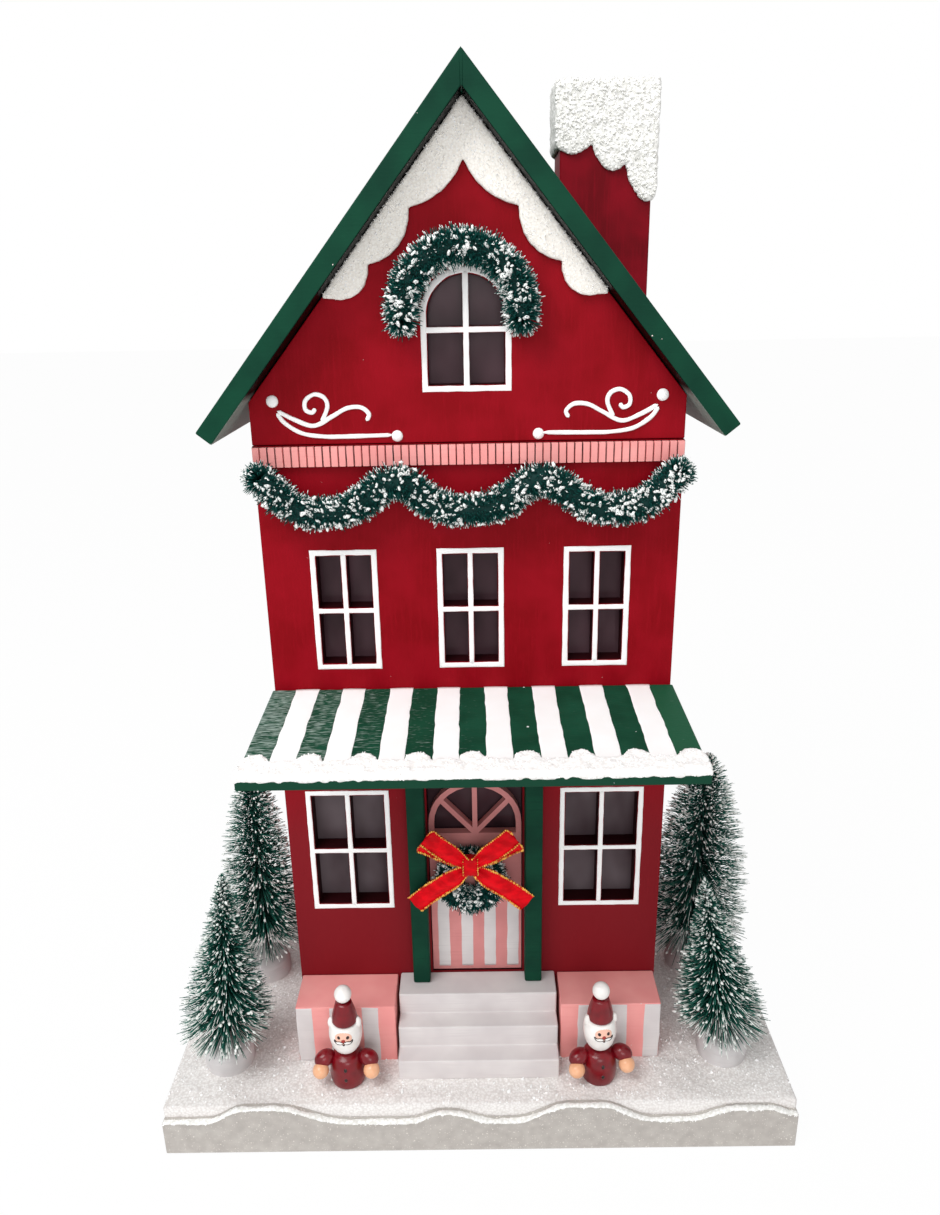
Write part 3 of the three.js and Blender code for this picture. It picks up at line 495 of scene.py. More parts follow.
def dry_brushed_green():
    """Green acrylic, dry-brushed white towards the left end, a tone lighter at the right end."""
    material, tree, shader, place = finish("green_acrylic_dry_brushed", 0.55, IOR=1.5,
                                           Specular_IOR_Level=MATT)
    coat = patchy(tree, place, AWNING_PATCHES, *AWNING_TONES)
    where = add(tree, "SeparateXYZ", None, {0: place})
    left = reached(tree, where.outputs[0], DRY_GONE, DRY_END)
    right = reached(tree, where.outputs[0], LAST_STRETCH - 1, LAST_STRETCH + 1)
    top = reached(tree, where.outputs[1], awning_low[1] + EDGE_END, awning_low[1] + TOP_START)
    lean = add(tree, "Math", {1: DRY_RISE}, {0: left}, operation="MULTIPLY").outputs[0]
    streak = clouds(tree, place, STREAK, 1)
    raised = add(tree, "Math", None, {0: streak, 1: lean}, operation="ADD").outputs[0]
    dry = add(tree, "Math", None, {0: sharpened(tree, raised, *DRY_EDGE), 1: top}, operation="MULTIPLY")
    faint = add(tree, "Math", {1: DRY_COVER}, {0: dry.outputs[0]}, operation="MULTIPLY").outputs[0]
    coat = blended(tree, right, coat, LAST_TONE)
    coat = blended(tree, top, EDGE_TONE, coat)
    coat = blended(tree, faint, coat, DRY_WHITE)
    speck = flakes(tree, place, FLECK_SPACING, FLECK, FLECK_SHARE)
    coat = blended(tree, speck, coat, FLECK_COLOUR)
    tree.links.new(coat, shader.inputs["Base Color"])
    relief(tree, shader, streak, STREAK_DEPTH)
    return material


eased("awning", dry_brushed_green(), 0.5)
print("awning board done")

# %% [markdown]
# The two roof boards meet in a mitre at the ridge, which is filled and painted over. The filler
# is a thin upright blade along the whole joint. Its pointed top ends a hair under the ridge, and
# its ends stand a hair proud of the boards.

# %% Ridge filler
FILLER_HALF, FILLER_PROUD = 0.42, 0.04
SHOULDER_DROP, TIP_DROP, ROOF_MITRE = 0.62, 0.02, 8.2
roof_low, roof_high = span("roof_left")
blade = np.array([(-FILLER_HALF, -SHOULDER_DROP), (-FILLER_HALF * 0.4, -ROOF_MITRE),
                  (FILLER_HALF * 0.4, -ROOF_MITRE), (FILLER_HALF, -SHOULDER_DROP), (0, -TIP_DROP)])
ends = np.array([roof_low[1] - FILLER_PROUD, roof_high[1] + FILLER_PROUD])
rings = np.stack(np.broadcast_arrays(blade[:, 0], ends[:, None], roof_high[2] + blade[:, 1]), -1)
piece("ridge_filler", *lofts(rings[None]), green_paint, GREEN, smooth=False)
print("ridge filled over", round(ends[1] - ends[0], 1), "mm")

# %% [markdown]
# White lines and stripes are painted by hand: they stand a tenth or two of a millimetre proud,
# with rounded edges and a slightly wandering width. A line is a loft: a low dome carried along
# the middle line. At a corner it is turned half-way and widened, as a picture frame's mitre is.

# %% Painted lines
SECTION = 9
BURIED = 0.06
FLAT_SIDES, FLAT_TOP = 0.8, 0.6
WANDER_CELL = 2.5
SHARPEST_MITRE = 0.3
DOT_SIDES, DOT_ROWS, DOT_TOP = 20, 7, np.pi / 2 * 0.97


def on_wall(u, v, out):
    """A point of the front wall's face: across, up, and out towards the viewer."""
    return np.stack([u, wall_y - out, v], axis=-1)


def solid_line(line, width, height, surface=on_wall, closed=False, wander=0.06, square=False):
    """A domed line: the offset from the middle line is half the width times the cosine
    of an angle, the height is its sine, raised to a power that flattens the top."""
    line = np.asarray(line, float)
    steps = np.diff(line, axis=0, append=line[:1] if closed else line[-1:])
    if not closed:
        steps[-1] = steps[-2]
    steps /= np.linalg.norm(steps, axis=1, keepdims=True)
    before = np.roll(steps, 1, axis=0)
    if not closed:
        before[0] = steps[0]
    across, last = (np.stack([-s[:, 1], s[:, 0]], axis=1) for s in (steps, before))
    mitre = (across + last) / np.maximum(1 + (across * last).sum(1, keepdims=True), SHARPEST_MITRE)
    seed = np.c_[line, np.zeros(len(line))]
    half = width / 2 * (1 + wander * value_noise(seed, WANDER_CELL, 3)[:, None])
    if not closed and not square:
        along = reach_of(line)
        near = np.minimum(along, along[-1] - along)[:, None] / (width / 2)
        half = half * np.sqrt(np.clip(1 - (1 - np.clip(near, 0, 1))**2, 0.02, 1))
    angle = np.linspace(0, np.pi, SECTION)
    offset = np.sign(np.cos(angle)) * np.abs(np.cos(angle))**FLAT_SIDES
    dome = np.sin(angle)**FLAT_TOP
    uv = line[:, None] + mitre[:, None] * (half[:, None] * offset[:, None])
    out = np.broadcast_to(height * dome - BURIED, uv.shape[:2])
    return lofts(surface(uv[..., 0], uv[..., 1], out)[None], closed)


def dot(u, v, radius, height, surface=on_wall, tall=1.0):
    """A round drop of paint: rings shrink by the cosine as they rise by the sine."""
    turn = np.linspace(0, 2 * np.pi, DOT_SIDES, endpoint=False)
    rise = np.linspace(0, DOT_TOP, DOT_ROWS)[:, None]
    return lofts(surface(u + radius * np.cos(rise) * np.cos(turn),
                         v + tall * radius * np.cos(rise) * np.sin(turn),
                         height * np.sin(rise) - BURIED + 0 * turn)[None])


print("line helpers ready")

# %% [markdown]
# The window frames aren't wood: they are white lines painted straight on the wall, round and
# between the panes that are sawn through it. Each is one closed line with mitred corners and two
# bars across it. The sizes are those of the painted frame's outside.

# %% Window frames
BAR, FRAME_WIDER = 1.5, 0.12
FRAME_PAINT, BAR_SHARE = 0.28, 0.9
FILM_LAP = 2.5
UPPER_W, UPPER_H = 19.4, 37.2
GABLE_W, GABLE_SPRING, GABLE_RAIL = 24.3, 20, 16.2


def window_frame(name, outside, bars):
    """White paint along the closed middle line of a frame and along its bars."""
    parts = [solid_line(outside, BAR + FRAME_WIDER, FRAME_PAINT, closed=True, wander=0.11)]
    for a, b in bars:
        line = np.linspace(a, b, 24)
        parts.append(solid_line(line, BAR, FRAME_PAINT * BAR_SHARE, wander=0.1, square=True))
    points, faces = joined(*parts)
    piece(name, points, faces, line_paint, WHITE)


def dense(corners, step=1.5):
    """A closed outline's corners with points every step mm between them."""
    corners = np.asarray(corners, float)
    ahead = np.roll(corners, -1, axis=0)
    return np.vstack([a + (b - a) * np.arange(n)[:, None] / n
                      for a, b in zip(corners, ahead)
                      for n in [max(1, int(np.hypot(*(b - a)) / step))]])


def four_panes(name, x, z, w, h):
    """Frame and cross bars of a four-pane window whose outside is w by h, from its foot z."""
    half, mid = (w - BAR) / 2, z + h / 2
    low, high = z + BAR / 2, z + h - BAR / 2
    outside = dense([(x - half, low), (x + half, low), (x + half, high), (x - half, high)])
    window_frame(name, outside, [((x, low), (x, high)), ((x - half, mid), (x + half, mid))])


upper_low, upper_high = span("film_upper")
upper_x = upper_high[0] - FILM_LAP - UPPER_W / 2
for label, x in (("left", -upper_x), ("middle", 0), ("right", upper_x)):
    four_panes(f"window_frame_upper_{label}", x, upper_low[2] + FILM_LAP, UPPER_W, UPPER_H)
for label in ("left", "right"):
    low, high = span(f"film_lower_{label}")
    four_panes(f"window_frame_lower_{label}", (low[0] + high[0]) / 2, low[2], *(high - low)[[0, 2]])

sill = span("film_gable")[0][2]
half = (GABLE_W - BAR) / 2
arch = np.linspace(0, np.pi, 33)
spring = sill + GABLE_SPRING
outside = dense([(-half, sill + BAR / 2), (half, sill + BAR / 2),
                 *zip(half * np.cos(arch), spring + half * np.sin(arch))])
rail = sill + GABLE_RAIL
window_frame("window_frame_gable", outside,
             [((-half, rail), (half, rail)), ((0, sill + BAR / 2), (0, spring + half))])
print("six window frames")

# %% [markdown]
# Two scrolls are piped on the gable with a fine nozzle, as icing is, so their lines stand well
# proud and end in round drops. Each is three smooth curves through a few points: a long lower
# stroke, a shorter upper one, and a spiral between them. The right one mirrors the left.

# %% Piped scrolls
SCROLL_LINE = 1.2
SCROLL_RISE = 0.55
LOWER_STROKE = [(-52.6, 227.4), (-50.5, 224.6), (-46, 221.8), (-40, 220.8), (-34, 220.7), (-20.5, 220.9)]
UPPER_STROKE = [(-52.4, 228.0), (-47.7, 225.5), (-42.5, 223.8), (-37.1, 226.4), (-33.2, 228.4),
                (-29.4, 228.6), (-27.2, 226.8), (-27.9, 224.9)]
SPIRAL = [(-40.3, 224.8), (-38.5, 228.9), (-39.3, 231.4), (-41.9, 232.3), (-44.4, 230.7),
          (-44.6, 228.3), (-42.9, 227.4), (-41.8, 228.5)]
END_DROPS = [(-53.6, 230.6, 1.7), (-19.6, 220.6, 1.6)]

for label, side in (("left", 1), ("right", -1)):
    parts = []
    for stroke in (LOWER_STROKE, UPPER_STROKE, SPIRAL):
        line = through(stroke, 8) * (side, 1)
        parts.append(solid_line(line, SCROLL_LINE, SCROLL_RISE, wander=0.12))
    for u, v, radius in END_DROPS:
        parts.append(dot(side * u, v, radius, 1.0))
    points, faces = joined(*parts)
    piece(f"scroll_{label}", points, faces, line_paint, WHITE)
print("two scrolls")

# %% [markdown]
# The awning's eight white stripes, the planters' three each and the door's four are broad lines
# of the same white paint, laid on another surface: the awning's sloping top, a planter's front or
# the door. Their edges wander a little, because no tape was used.

# %% White stripes
STRIPES = 17
AWNING_SNOW_D, UNDER_SNOW = 7.5, 2
AWNING_FALL = 2.6
SWAY, SWAY_CELL = 0.14, 6.0
door_y = span("door")[0][1]


def on_awning(u, v, out):
    """A point of the awning's top: across, back from its front edge, and up from the paint."""
    depth = awning_high[1] - awning_low[1]
    z = awning_high[2] - AWNING_FALL * (1 - v / depth) + out
    return np.stack([u, awning_low[1] + v, z], axis=-1)


def stripes(name, places, width, foot, top, surface, paint, height=0.14):
    """Straight strokes up a surface, one at each place across it; edges and middle line wander."""
    v = np.linspace(foot, top, 40)
    strokes = []
    for x in places:
        sway = SWAY * value_noise(np.c_[v, v * 0 + x, v * 0], SWAY_CELL, 5)
        strokes.append(solid_line(np.c_[x + sway, v], width, height, surface, wander=0.045, square=True))
    piece(name, *joined(*strokes), paint, WHITE)


stripe_w = (awning_high[0] - awning_low[0]) / STRIPES
stripes("awning_white_stripes", awning_low[0] + (np.arange(1, STRIPES, 2) + 0.5) * stripe_w, stripe_w,
        AWNING_SNOW_D - UNDER_SNOW, awning_high[1] - awning_low[1], on_awning, line_paint, 0.16)

PLANTER_STRIPES, STRIPE_END = 6, 0.3
for label, first in (("left", 0), ("right", 1)):
    low, high = span(f"planter_{label}")
    width = (high[0] - low[0]) / PLANTER_STRIPES
    on_planter = lambda u, v, out: np.stack([u, low[1] - out, v], axis=-1)
    stripes(f"planter_{label}_stripes", low[0] + (np.arange(first, PLANTER_STRIPES, 2) + 0.5) * width,
            width, low[2] + STRIPE_END, high[2] - STRIPE_END, on_planter, white_paint)

DOOR_PITCH, DOOR_STRIPE_W = 7.75, 4.1
DOOR_STRIPES_X, DOOR_RAIL, STRIPES_TOP = 0.6, 1.3, 72
on_door = lambda u, v, out: np.stack([u, door_y - out, v], axis=-1)
stripes("door_white_stripes", DOOR_STRIPES_X + (np.arange(4) - 1.5) * DOOR_PITCH, DOOR_STRIPE_W,
        span("door")[0][2] + DOOR_RAIL, STRIPES_TOP, on_door, white_paint, 0.12)
eased("door", door_paint, 0.2)
print("stripes on the awning, the planters and the door")

# %% [markdown]
# The pink band over the upper windows is a row of little sticks glued side by side. The CAD comb
# has them all alike, but by hand they never are: each gets its own width, depth, lean and height
# from a seeded random draw. Their sides and the backing behind them are painted dark red as the
# shade in the narrow gaps, which draws a line between two sticks.

# %% Band of small sticks
STICKS = 55
rng = np.random.default_rng(12)
band_low, band_high = span("dentil_band")
STICK_BACK, STICK_EDGE = 0.6, 0.12
ASIDE, SHORTER, LEAN = 0.1, 0.2, 0.012
WIDTH_SHARE, DEPTH_SHARE = (0.66, 0.82), (0.86, 1.0)


def boxes(centres, halves, lean):
    """Many boxes at once, each turned in the wall's plane by its own angle."""
    signs = np.array([(a, b, c) for c in (-1, 1) for b in (-1, 1) for a in (-1, 1)], float)
    corners = signs * halves[:, None]
    c, s = np.cos(lean)[:, None], np.sin(lean)[:, None]
    x, z = corners[..., 0], corners[..., 2]
    corners = np.stack([x * c - z * s, corners[..., 1], x * s + z * c], -1) + centres[:, None]
    sides = np.array([(0, 2, 3, 1), (4, 5, 7, 6), (0, 1, 5, 4), (2, 6, 7, 3), (0, 4, 6, 2), (1, 3, 7, 5)])
    faces = sides[None] + 8 * np.arange(len(centres))[:, None, None]
    return corners.reshape(-1, 3), [faces.reshape(-1, 4)]


pitch = (band_high[0] - band_low[0]) / STICKS
x = band_low[0] + (np.arange(STICKS) + 0.5) * pitch + rng.uniform(-ASIDE, ASIDE, STICKS)
wide = pitch / 2 * rng.uniform(*WIDTH_SHARE, STICKS)
depth = (band_high[1] - band_low[1] - STICK_BACK) / 2 * rng.uniform(*DEPTH_SHARE, STICKS)
middle = np.c_[x, band_high[1] - STICK_BACK - depth, np.full(STICKS, (band_low[2] + band_high[2]) / 2)]
tall = (band_high[2] - band_low[2]) / 2 - rng.uniform(0, SHORTER, STICKS)
sticks = piece("band_sticks", *boxes(middle, np.c_[wide, depth, tall], rng.normal(0, LEAN, STICKS)),
               band_paint, PINK, ["dentil_band"], smooth=False)
bevel = sticks.modifiers.new("sanded_edge", "BEVEL")
bevel.width, bevel.segments = STICK_EDGE * MM, 2
# The backing shows only in the gaps between the sticks, so it is painted dark red as their shade.
gap_shade_paint = painted_board("dark_red_gap_shade", "#2C060B", "#1A0406", roughness=0.7, stray=0.0)
half = (band_high - band_low) / 2
half[1] = STICK_BACK / 2
centre = (band_low + band_high) / 2
centre[1] = band_high[1] - STICK_BACK / 2
piece("band_backing", *boxes(centre[None], half[None], np.zeros(1)), gap_shade_paint, RED,
      ["dentil_band"], smooth=False)
print(STICKS, "sticks")

# %% [markdown]
# Behind the panes is clear acetate film, a little wavy, with the dark house behind it. Such a
# film is nearly all reflection in a picture: a smooth dielectric of IOR 1.5 over something almost
# black, tinted by the red wood; that dark base colour is painted shade for the room behind. The
# lower films face the bright snow, and their paler grey base is a painted reflection of it.

# %% Window film
def acetate(name, colour, roughness):
    """Smooth clear film over a dark room: a dark base painted as the room's shade, a low roughness and
    slow waves.
    """
    return two_toned(name, roughness, (colour, "#38252A"), (14, 14, 26), (0.3, 0.75),
                     (9, 9, 14), 0.12, IOR=1.5, Specular_IOR_Level=0.12)


dark_film = acetate("acetate_film", "#5C434A", 0.2)
snow_reflection_film = acetate("acetate_film_painted_snow_reflection", "#6C6064", 0.3)
for node in ("film_gable", "film_upper", "film_door", "film_lower_left", "film_lower_right"):
    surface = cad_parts[node].data.materials
    surface.clear()
    surface.append(snow_reflection_film if "lower" in node else dark_film)
print("five films")

# %% [markdown]
# Craft snow is white paste with crushed glass glitter shaken over it. It has three scales: soft
# lumps of a few millimetres, grains of half a millimetre to one, and single bright crystals. The
# lumps are moved into the mesh; grains and crystals are small pieces, half sunk in it.

# %% Snow finish
def glitter_snow(name, bright, pit_shade, grain, depth):
    """White paste with grit: pits between the grains are painted greyer as shade, and some grains are
    glossy.
    """
    material, tree, shader, place = finish(name, 0.75, IOR=1.45, Specular_IOR_Level=0.25)
    cells = add(tree, "TexVoronoi", {"Scale": 1 / (grain * MM)}, {"Vector": place})
    pit_shade_mask = sharpened(tree, cells.outputs["Distance"], 0.25, 0.75)
    tree.links.new(blended(tree, pit_shade_mask, bright, pit_shade), shader.inputs["Base Color"])
    parts = add(tree, "SeparateColor", None, {0: cells.outputs["Color"]})
    gloss = sharpened(tree, parts.outputs[0], 0.85, 0.87)
    rough = add(tree, "MapRange", {"To Min": 0.75, "To Max": 0.2}, {"Value": gloss}).outputs[0]
    tree.links.new(rough, shader.inputs["Roughness"])
    round_top = add(tree, "Math", {0: 1.0}, {1: cells.outputs["Distance"]}, operation="SUBTRACT")
    relief(tree, shader, round_top.outputs[0], depth)
    return material


snow = glitter_snow("glitter_paste", "#FFFEFC", "#E5E4DF", 0.9, 0.09)
awning_paste = glitter_snow("smooth_glitter_paste", "#FFFFFF", "#F1EFEC", 0.8, 0.05)
trim_snow = glitter_snow("fine_glitter_paste", "#FFFCF6", "#F4EFE7", 0.6, 0.04)
yard_snow = glitter_snow("glitter_paste_on_base", "#F0EDEB", "#DCD7D4", 0.8, 0.08)
crystal, tree, shader, place = finish("glass_glitter", 0.12, IOR=1.52)
shader.inputs["Base Color"].default_value = linear("#FFFFFF")
SNOW = "glitter_snow"


def random_turns(count, rng):
    """Random rotation matrices from unit quaternions drawn on the 4-D sphere."""
    q = rng.normal(size=(count, 4))
    w, x, y, z = (q / np.linalg.norm(q, axis=1, keepdims=True)).T
    turns = [[1 - 2 * (y * y + z * z), 2 * (x * y - z * w), 2 * (x * z + y * w)],
             [2 * (x * y + z * w), 1 - 2 * (x * x + z * z), 2 * (y * z - x * w)],
             [2 * (x * z - y * w), 2 * (y * z + x * w), 1 - 2 * (x * x + y * y)]]
    return np.array(turns).transpose(2, 0, 1)


GOLD = (1 + 5**0.5) / 2
ICOSAHEDRON = np.array([(-1, GOLD, 0), (1, GOLD, 0), (-1, -GOLD, 0), (1, -GOLD, 0),
                        (0, -1, GOLD), (0, 1, GOLD), (0, -1, -GOLD), (0, 1, -GOLD),
                        (GOLD, 0, -1), (GOLD, 0, 1), (-GOLD, 0, -1), (-GOLD, 0, 1)]) / np.hypot(1, GOLD)
ICO_FACES = np.array([(0, 11, 5), (0, 5, 1), (0, 1, 7), (0, 7, 10), (0, 10, 11), (1, 5, 9),
                      (5, 11, 4), (11, 10, 2), (10, 7, 6), (7, 1, 8), (3, 9, 4), (3, 4, 2),
                      (3, 2, 6), (3, 6, 8), (3, 8, 9), (4, 9, 5), (2, 4, 11), (6, 2, 10),
                      (8, 6, 7), (9, 8, 1)])
OCTAHEDRON = np.array([(1, 0, 0), (0, 1, 0), (-1, 0, 0), (0, -1, 0), (0, 0, 1), (0, 0, -1)], float)
OCTA_FACES = np.array([(0, 1, 4), (1, 2, 4), (2, 3, 4), (3, 0, 4),
                       (1, 0, 5), (2, 1, 5), (3, 2, 5), (0, 3, 5)])
JITTER = 0.08
CRYSTAL = (OCTAHEDRON * (1, 1, 0.5), OCTA_FACES, (1, 3), (0.7, 1.3))
GRAIN = (ICOSAHEDRON, ICO_FACES, (12, 1), (0.75, 1.2))


def scattered(name, places, kind, low, high, seed, material, smooth=False):
    """Crystals or grains half sunk at places, low to high mm wide, each turned at random. A crystal
    is stretched along its three axes at random, a grain is dented at its twelve corners."""
    corners, faces, dented, dents = kind
    rng = np.random.default_rng(seed)
    size = rng.uniform(low, high, (len(places), 1, 1)) / 2
    shape = corners * size * rng.uniform(*dents, (len(places), *dented))
    points = shape @ random_turns(len(places), rng) + places[:, None]
    faces = faces[None] + len(corners) * np.arange(len(places))[:, None, None]
    piece(name, points.reshape(-1, 3), [faces.reshape(-1, 3)], material, SNOW, smooth=smooth)


def read(items, key, width=3):
    """An array of a mesh's vertices or faces: width numbers for each of them."""
    values = np.zeros(len(items) * width)
    items.foreach_get(key, values)
    return values.reshape(-1, width)


def surface_samples(made, count, seed, keep):
    """Random points on a piece's faces, as many on each as its area asks, where keep says so."""
    sides = made.data.polygons
    centre, normal = read(sides, "center") / MM, read(sides, "normal")
    weight = read(sides, "area", 1)[:, 0] * keep(centre, normal)
    rng = np.random.default_rng(seed)
    chosen = rng.choice(len(sides), count, p=weight / weight.sum())
    return centre[chosen] + rng.normal(0, JITTER, (count, 3)), normal[chosen]


print("snow finish ready")

# %% [markdown]
# The slab's top is a snowy yard: one sheet of points, 0.8 mm apart, whose height is the slab's
# own plus three sizes of noise, thinning out towards the rim. A skirt goes down to the table and
# a bottom closes it, so it stands for the whole slab.

# %% Snowy yard
YARD_STEP = 0.8
YARD_LUMPS = [(0.16, 1.3), (0.2, 4.5), (0.25, 16)]
YARD_LIFT, RIM_FADE = 0.3, 2.5
slab_low, slab_high = span("base_slab")


def yard_height(x, y):
    """Height of the snow: slab top plus lumps, grit and drifts, faded to nothing at the rim."""
    flat = np.c_[x.ravel(), y.ravel(), np.zeros(x.size)]
    lumps = sum(height * value_noise(flat, size, k) for k, (height, size) in enumerate(YARD_LUMPS, 1))
    lumps = (lumps + YARD_LIFT).reshape(x.shape)
    rim = np.minimum.reduce([x - slab_low[0], slab_high[0] - x, y - slab_low[1], slab_high[1] - y])
    return slab_high[2] + lumps * np.clip(rim / RIM_FADE, 0, 1)


nx, ny = (np.ceil((slab_high - slab_low)[:2] / YARD_STEP).astype(int) + 1)
gx, gy = np.meshgrid(np.linspace(slab_low[0], slab_high[0], nx),
                     np.linspace(slab_low[1], slab_high[1], ny), indexing="ij")
top = np.stack([gx, gy, yard_height(gx, gy)], -1).reshape(-1, 3)
index = np.arange(nx * ny).reshape(nx, ny)
cells = np.stack([index[:-1, :-1], index[1:, :-1], index[1:, 1:], index[:-1, 1:]], -1).reshape(-1, 4)
rim = np.concatenate([index[:-1, 0], index[-1, :-1], index[:0:-1, -1], index[0, :0:-1]])
foot = top[rim] * (1, 1, 0) + (0, 0, slab_low[2])
below = len(top) + np.arange(len(rim))
skirt = np.stack([rim, below, np.roll(below, -1), np.roll(rim, -1)], -1)
yard = piece("snowy_yard", np.concatenate([top, foot]), [cells, skirt, below[None, ::-1]],
             yard_snow, SNOW, ["base_slab"])
print("yard:", nx, "by", ny, "points")

house_low, house_high = span("front_wall")[0], span("back_wall")[1]


def open_yard(centre, normal):
    """True on the snow outside the house's walls."""
    between = (centre[:, 1] > house_low[1]) & (centre[:, 1] < house_high[1])
    return (normal[:, 2] > 0.3) & ~(between & (np.abs(centre[:, 0]) < house_high[0]))


LARGE, LARGE_LIFT = 900, 0.15
places, _ = surface_samples(yard, count=6500, seed=21, keep=open_yard)
scattered("yard_crystals", places, CRYSTAL, low=0.3, high=0.75, seed=22, material=crystal)
scattered("yard_large_crystals", places[:LARGE] + (0, 0, LARGE_LIFT), CRYSTAL, low=0.7, high=1.3,
          seed=23, material=crystal)
print(len(places), "crystals in the yard")

# %% [markdown]
# The drift board is a thin sawn board glued to the slab's front. Its face has one coat of warm
# white with fine glitter in it, painted a greyer white as the shade on this upright face, so it
# looks like pale stone. A bead of snow paste runs along its wavy top: a loft along the CAD board's
# own upper corners, roughened by noise.

# %% Drift board and its snow bead
FACE_PATCHES, SHADED_FACE_TONES = (3.5, 3.5, 3.5), ("#C0BBB5", "#B0AAA5")
GLITTER_SPACING, GLITTER, GLITTER_SHARE, GLITTER_COLOUR = 0.75, 0.36, 0.5, "#DCD7D0"
BEAD_R, BEAD_RISE, BEAD_PROUD, BEAD_END = 0.95, 0.6, 0.3, 0.4
BEAD_GRIT, BEAD_LUMPS = (0.2, 0.9), (0.3, 5)


def glittered_face():
    """Thin warm white over board, painted grey as the shade on the upright face: faint cloudy patches and
    fine bright specks.
    """
    material, tree, shader, place = finish("warm_white_glitter_paint_in_shade", 0.6, IOR=1.5,
                                           Specular_IOR_Level=0.15)
    uneven = sharpened(tree, clouds(tree, place, FACE_PATCHES, 4), 0.3, 0.7)
    coat = blended(tree, uneven, *SHADED_FACE_TONES)
    fine = flakes(tree, place, GLITTER_SPACING, GLITTER, GLITTER_SHARE)
    coat = blended(tree, fine, coat, GLITTER_COLOUR)
    tree.links.new(coat, shader.inputs["Base Color"])
    relief(tree, shader, clouds(tree, place, (0.6, 0.6, 0.9), 3), 0.12)
    return material


eased("drift_board", glittered_face(), 0.3)
drift_low, drift_high = span("drift_board")
corners = np.array([v.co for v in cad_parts["drift_board"].data.vertices]) / MM
crest = np.unique(corners[corners[:, 2] > drift_high[2] / 2][:, [0, 2]].round(3), axis=0)
along = np.linspace(drift_low[0] + BEAD_END, drift_high[0] - BEAD_END, 520)
crest_z = np.interp(along, crest[:, 0], crest[:, 1])
around = np.linspace(0, 2 * np.pi, 14, endpoint=False)
ring_y = -BEAD_R * np.cos(around) + (drift_low[1] + BEAD_R - BEAD_PROUD)
ring_z = BEAD_RISE * np.where(np.sin(around) > 0, 1, 0.5) * np.sin(around)
bead = np.stack(np.broadcast_arrays(along[:, None], ring_y, crest_z[:, None] + ring_z), -1)
outward = np.stack([0 * around, -np.cos(around), np.sin(around)], -1)
rough = sum(height * value_noise(bead.reshape(-1, 3), size, seed)
            for (height, size), seed in ((BEAD_GRIT, 7), (BEAD_LUMPS, 8)))
bead = bead + outward * rough.reshape(bead.shape[:2])[..., None]
drift_snow = piece("drift_snow_bead", *lofts(bead[None]), snow, SNOW)
places, _ = surface_samples(drift_snow, count=900, seed=31, keep=lambda _, normal: normal[:, 2] > 0)
scattered("drift_crystals", places, CRYSTAL, low=0.3, high=0.7, seed=32, material=crystal)
print("bead along", len(crest), "crest points")

# %% [markdown]
# The chimney's cap, the trim under the gable and the awning's edge are the same paste, laid on
# thickly and left lumpy. A copy of each CAD solid is cut into small even cells by a Remesh
# modifier, and then every point is moved along its normal by two sizes of noise.

# %% Snow crusts
LUMP_CELL, GRIT_CELL = 1.7, 0.62
SUNK, RAISED = 0.1, 0.15


def crust(node, cell, coarse, fine, swell, sag, material):
    """A CAD node as rough paste: cells of cell mm, lumps coarse mm and grit fine mm high, all of
    it grown by swell mm, and its undersides let down by sag mm."""
    source = bpy.data.objects.new(node + "_solid", merged_copy(node, node + "_solid"))
    bpy.context.scene.collection.objects.link(source)
    cells = source.modifiers.new("cells", "REMESH")
    cells.mode, cells.voxel_size = "VOXEL", cell * MM
    soft = source.modifiers.new("soft", "SMOOTH")
    soft.factor, soft.iterations = 0.5, 4
    ready = source.evaluated_get(bpy.context.evaluated_depsgraph_get())
    mesh = bpy.data.meshes.new_from_object(ready)
    bpy.data.objects.remove(source)
    co, normal = read(mesh.vertices, "co") / MM, read(mesh.vertices, "normal")
    move = swell + coarse * value_noise(co, LUMP_CELL, 4) + fine * value_noise(co, GRIT_CELL, 9)
    co = co + normal * move[:, None]
    co[:, 2] -= sag * np.clip(-2 * normal[:, 2], 0, 1)
    mesh.vertices.foreach_set("co", (co * MM).ravel())
    return placed(node + "_paste", mesh, material, [node])


def to_the_front(centre, normal):
    """True where paste faces forwards or up, so that its lower outline stays clean."""
    return (normal[:, 1] < -0.6) | (normal[:, 2] > 0.5)


CRUSTS = [("chimney_snow", 0.42, 0.22, 0.12, 0.25, 0.7, snow, 3400, (0.6, 1.0)),
          ("gable_snow_trim", 0.36, 0.06, 0.05, 0.1, 0.8, trim_snow, 4200, (0.25, 0.42)),
          ("awning_snow", 0.42, 0.28, 0.05, 0.3, 0.9, awning_paste, 1500, (0.35, 0.6))]
for node, cell, coarse, fine, swell, sag, material, count, (low, high) in CRUSTS:
    made = crust(node, cell, coarse, fine, swell, sag, material)
    places, outward = surface_samples(made, count, count, to_the_front)
    scattered(node + "_grains", places - SUNK * outward, GRAIN, low, high, count + 1, material, True)
    few = count // 3
    scattered(node + "_crystals", places[:few] + RAISED * outward[:few], CRYSTAL, low=0.3, high=0.55,
              seed=count + 2, material=crystal)

# %% [markdown]
# Garlands, wreath and trees are all bottle brushes: thousands of stiff green fibres caught in a
# twisted wire and trimmed, their tips dipped in white flock. Each fibre is a three-sided loft of
# four rings, bent a little. A number on each point says how far along its fibre it is; the finish
# is painted darker towards the wire, as the shade inside the brush, and turns white near the tip,
# sooner on some fibres than on others. Bigger drops of flock are twenty-sided lumps threaded on the
# tips.

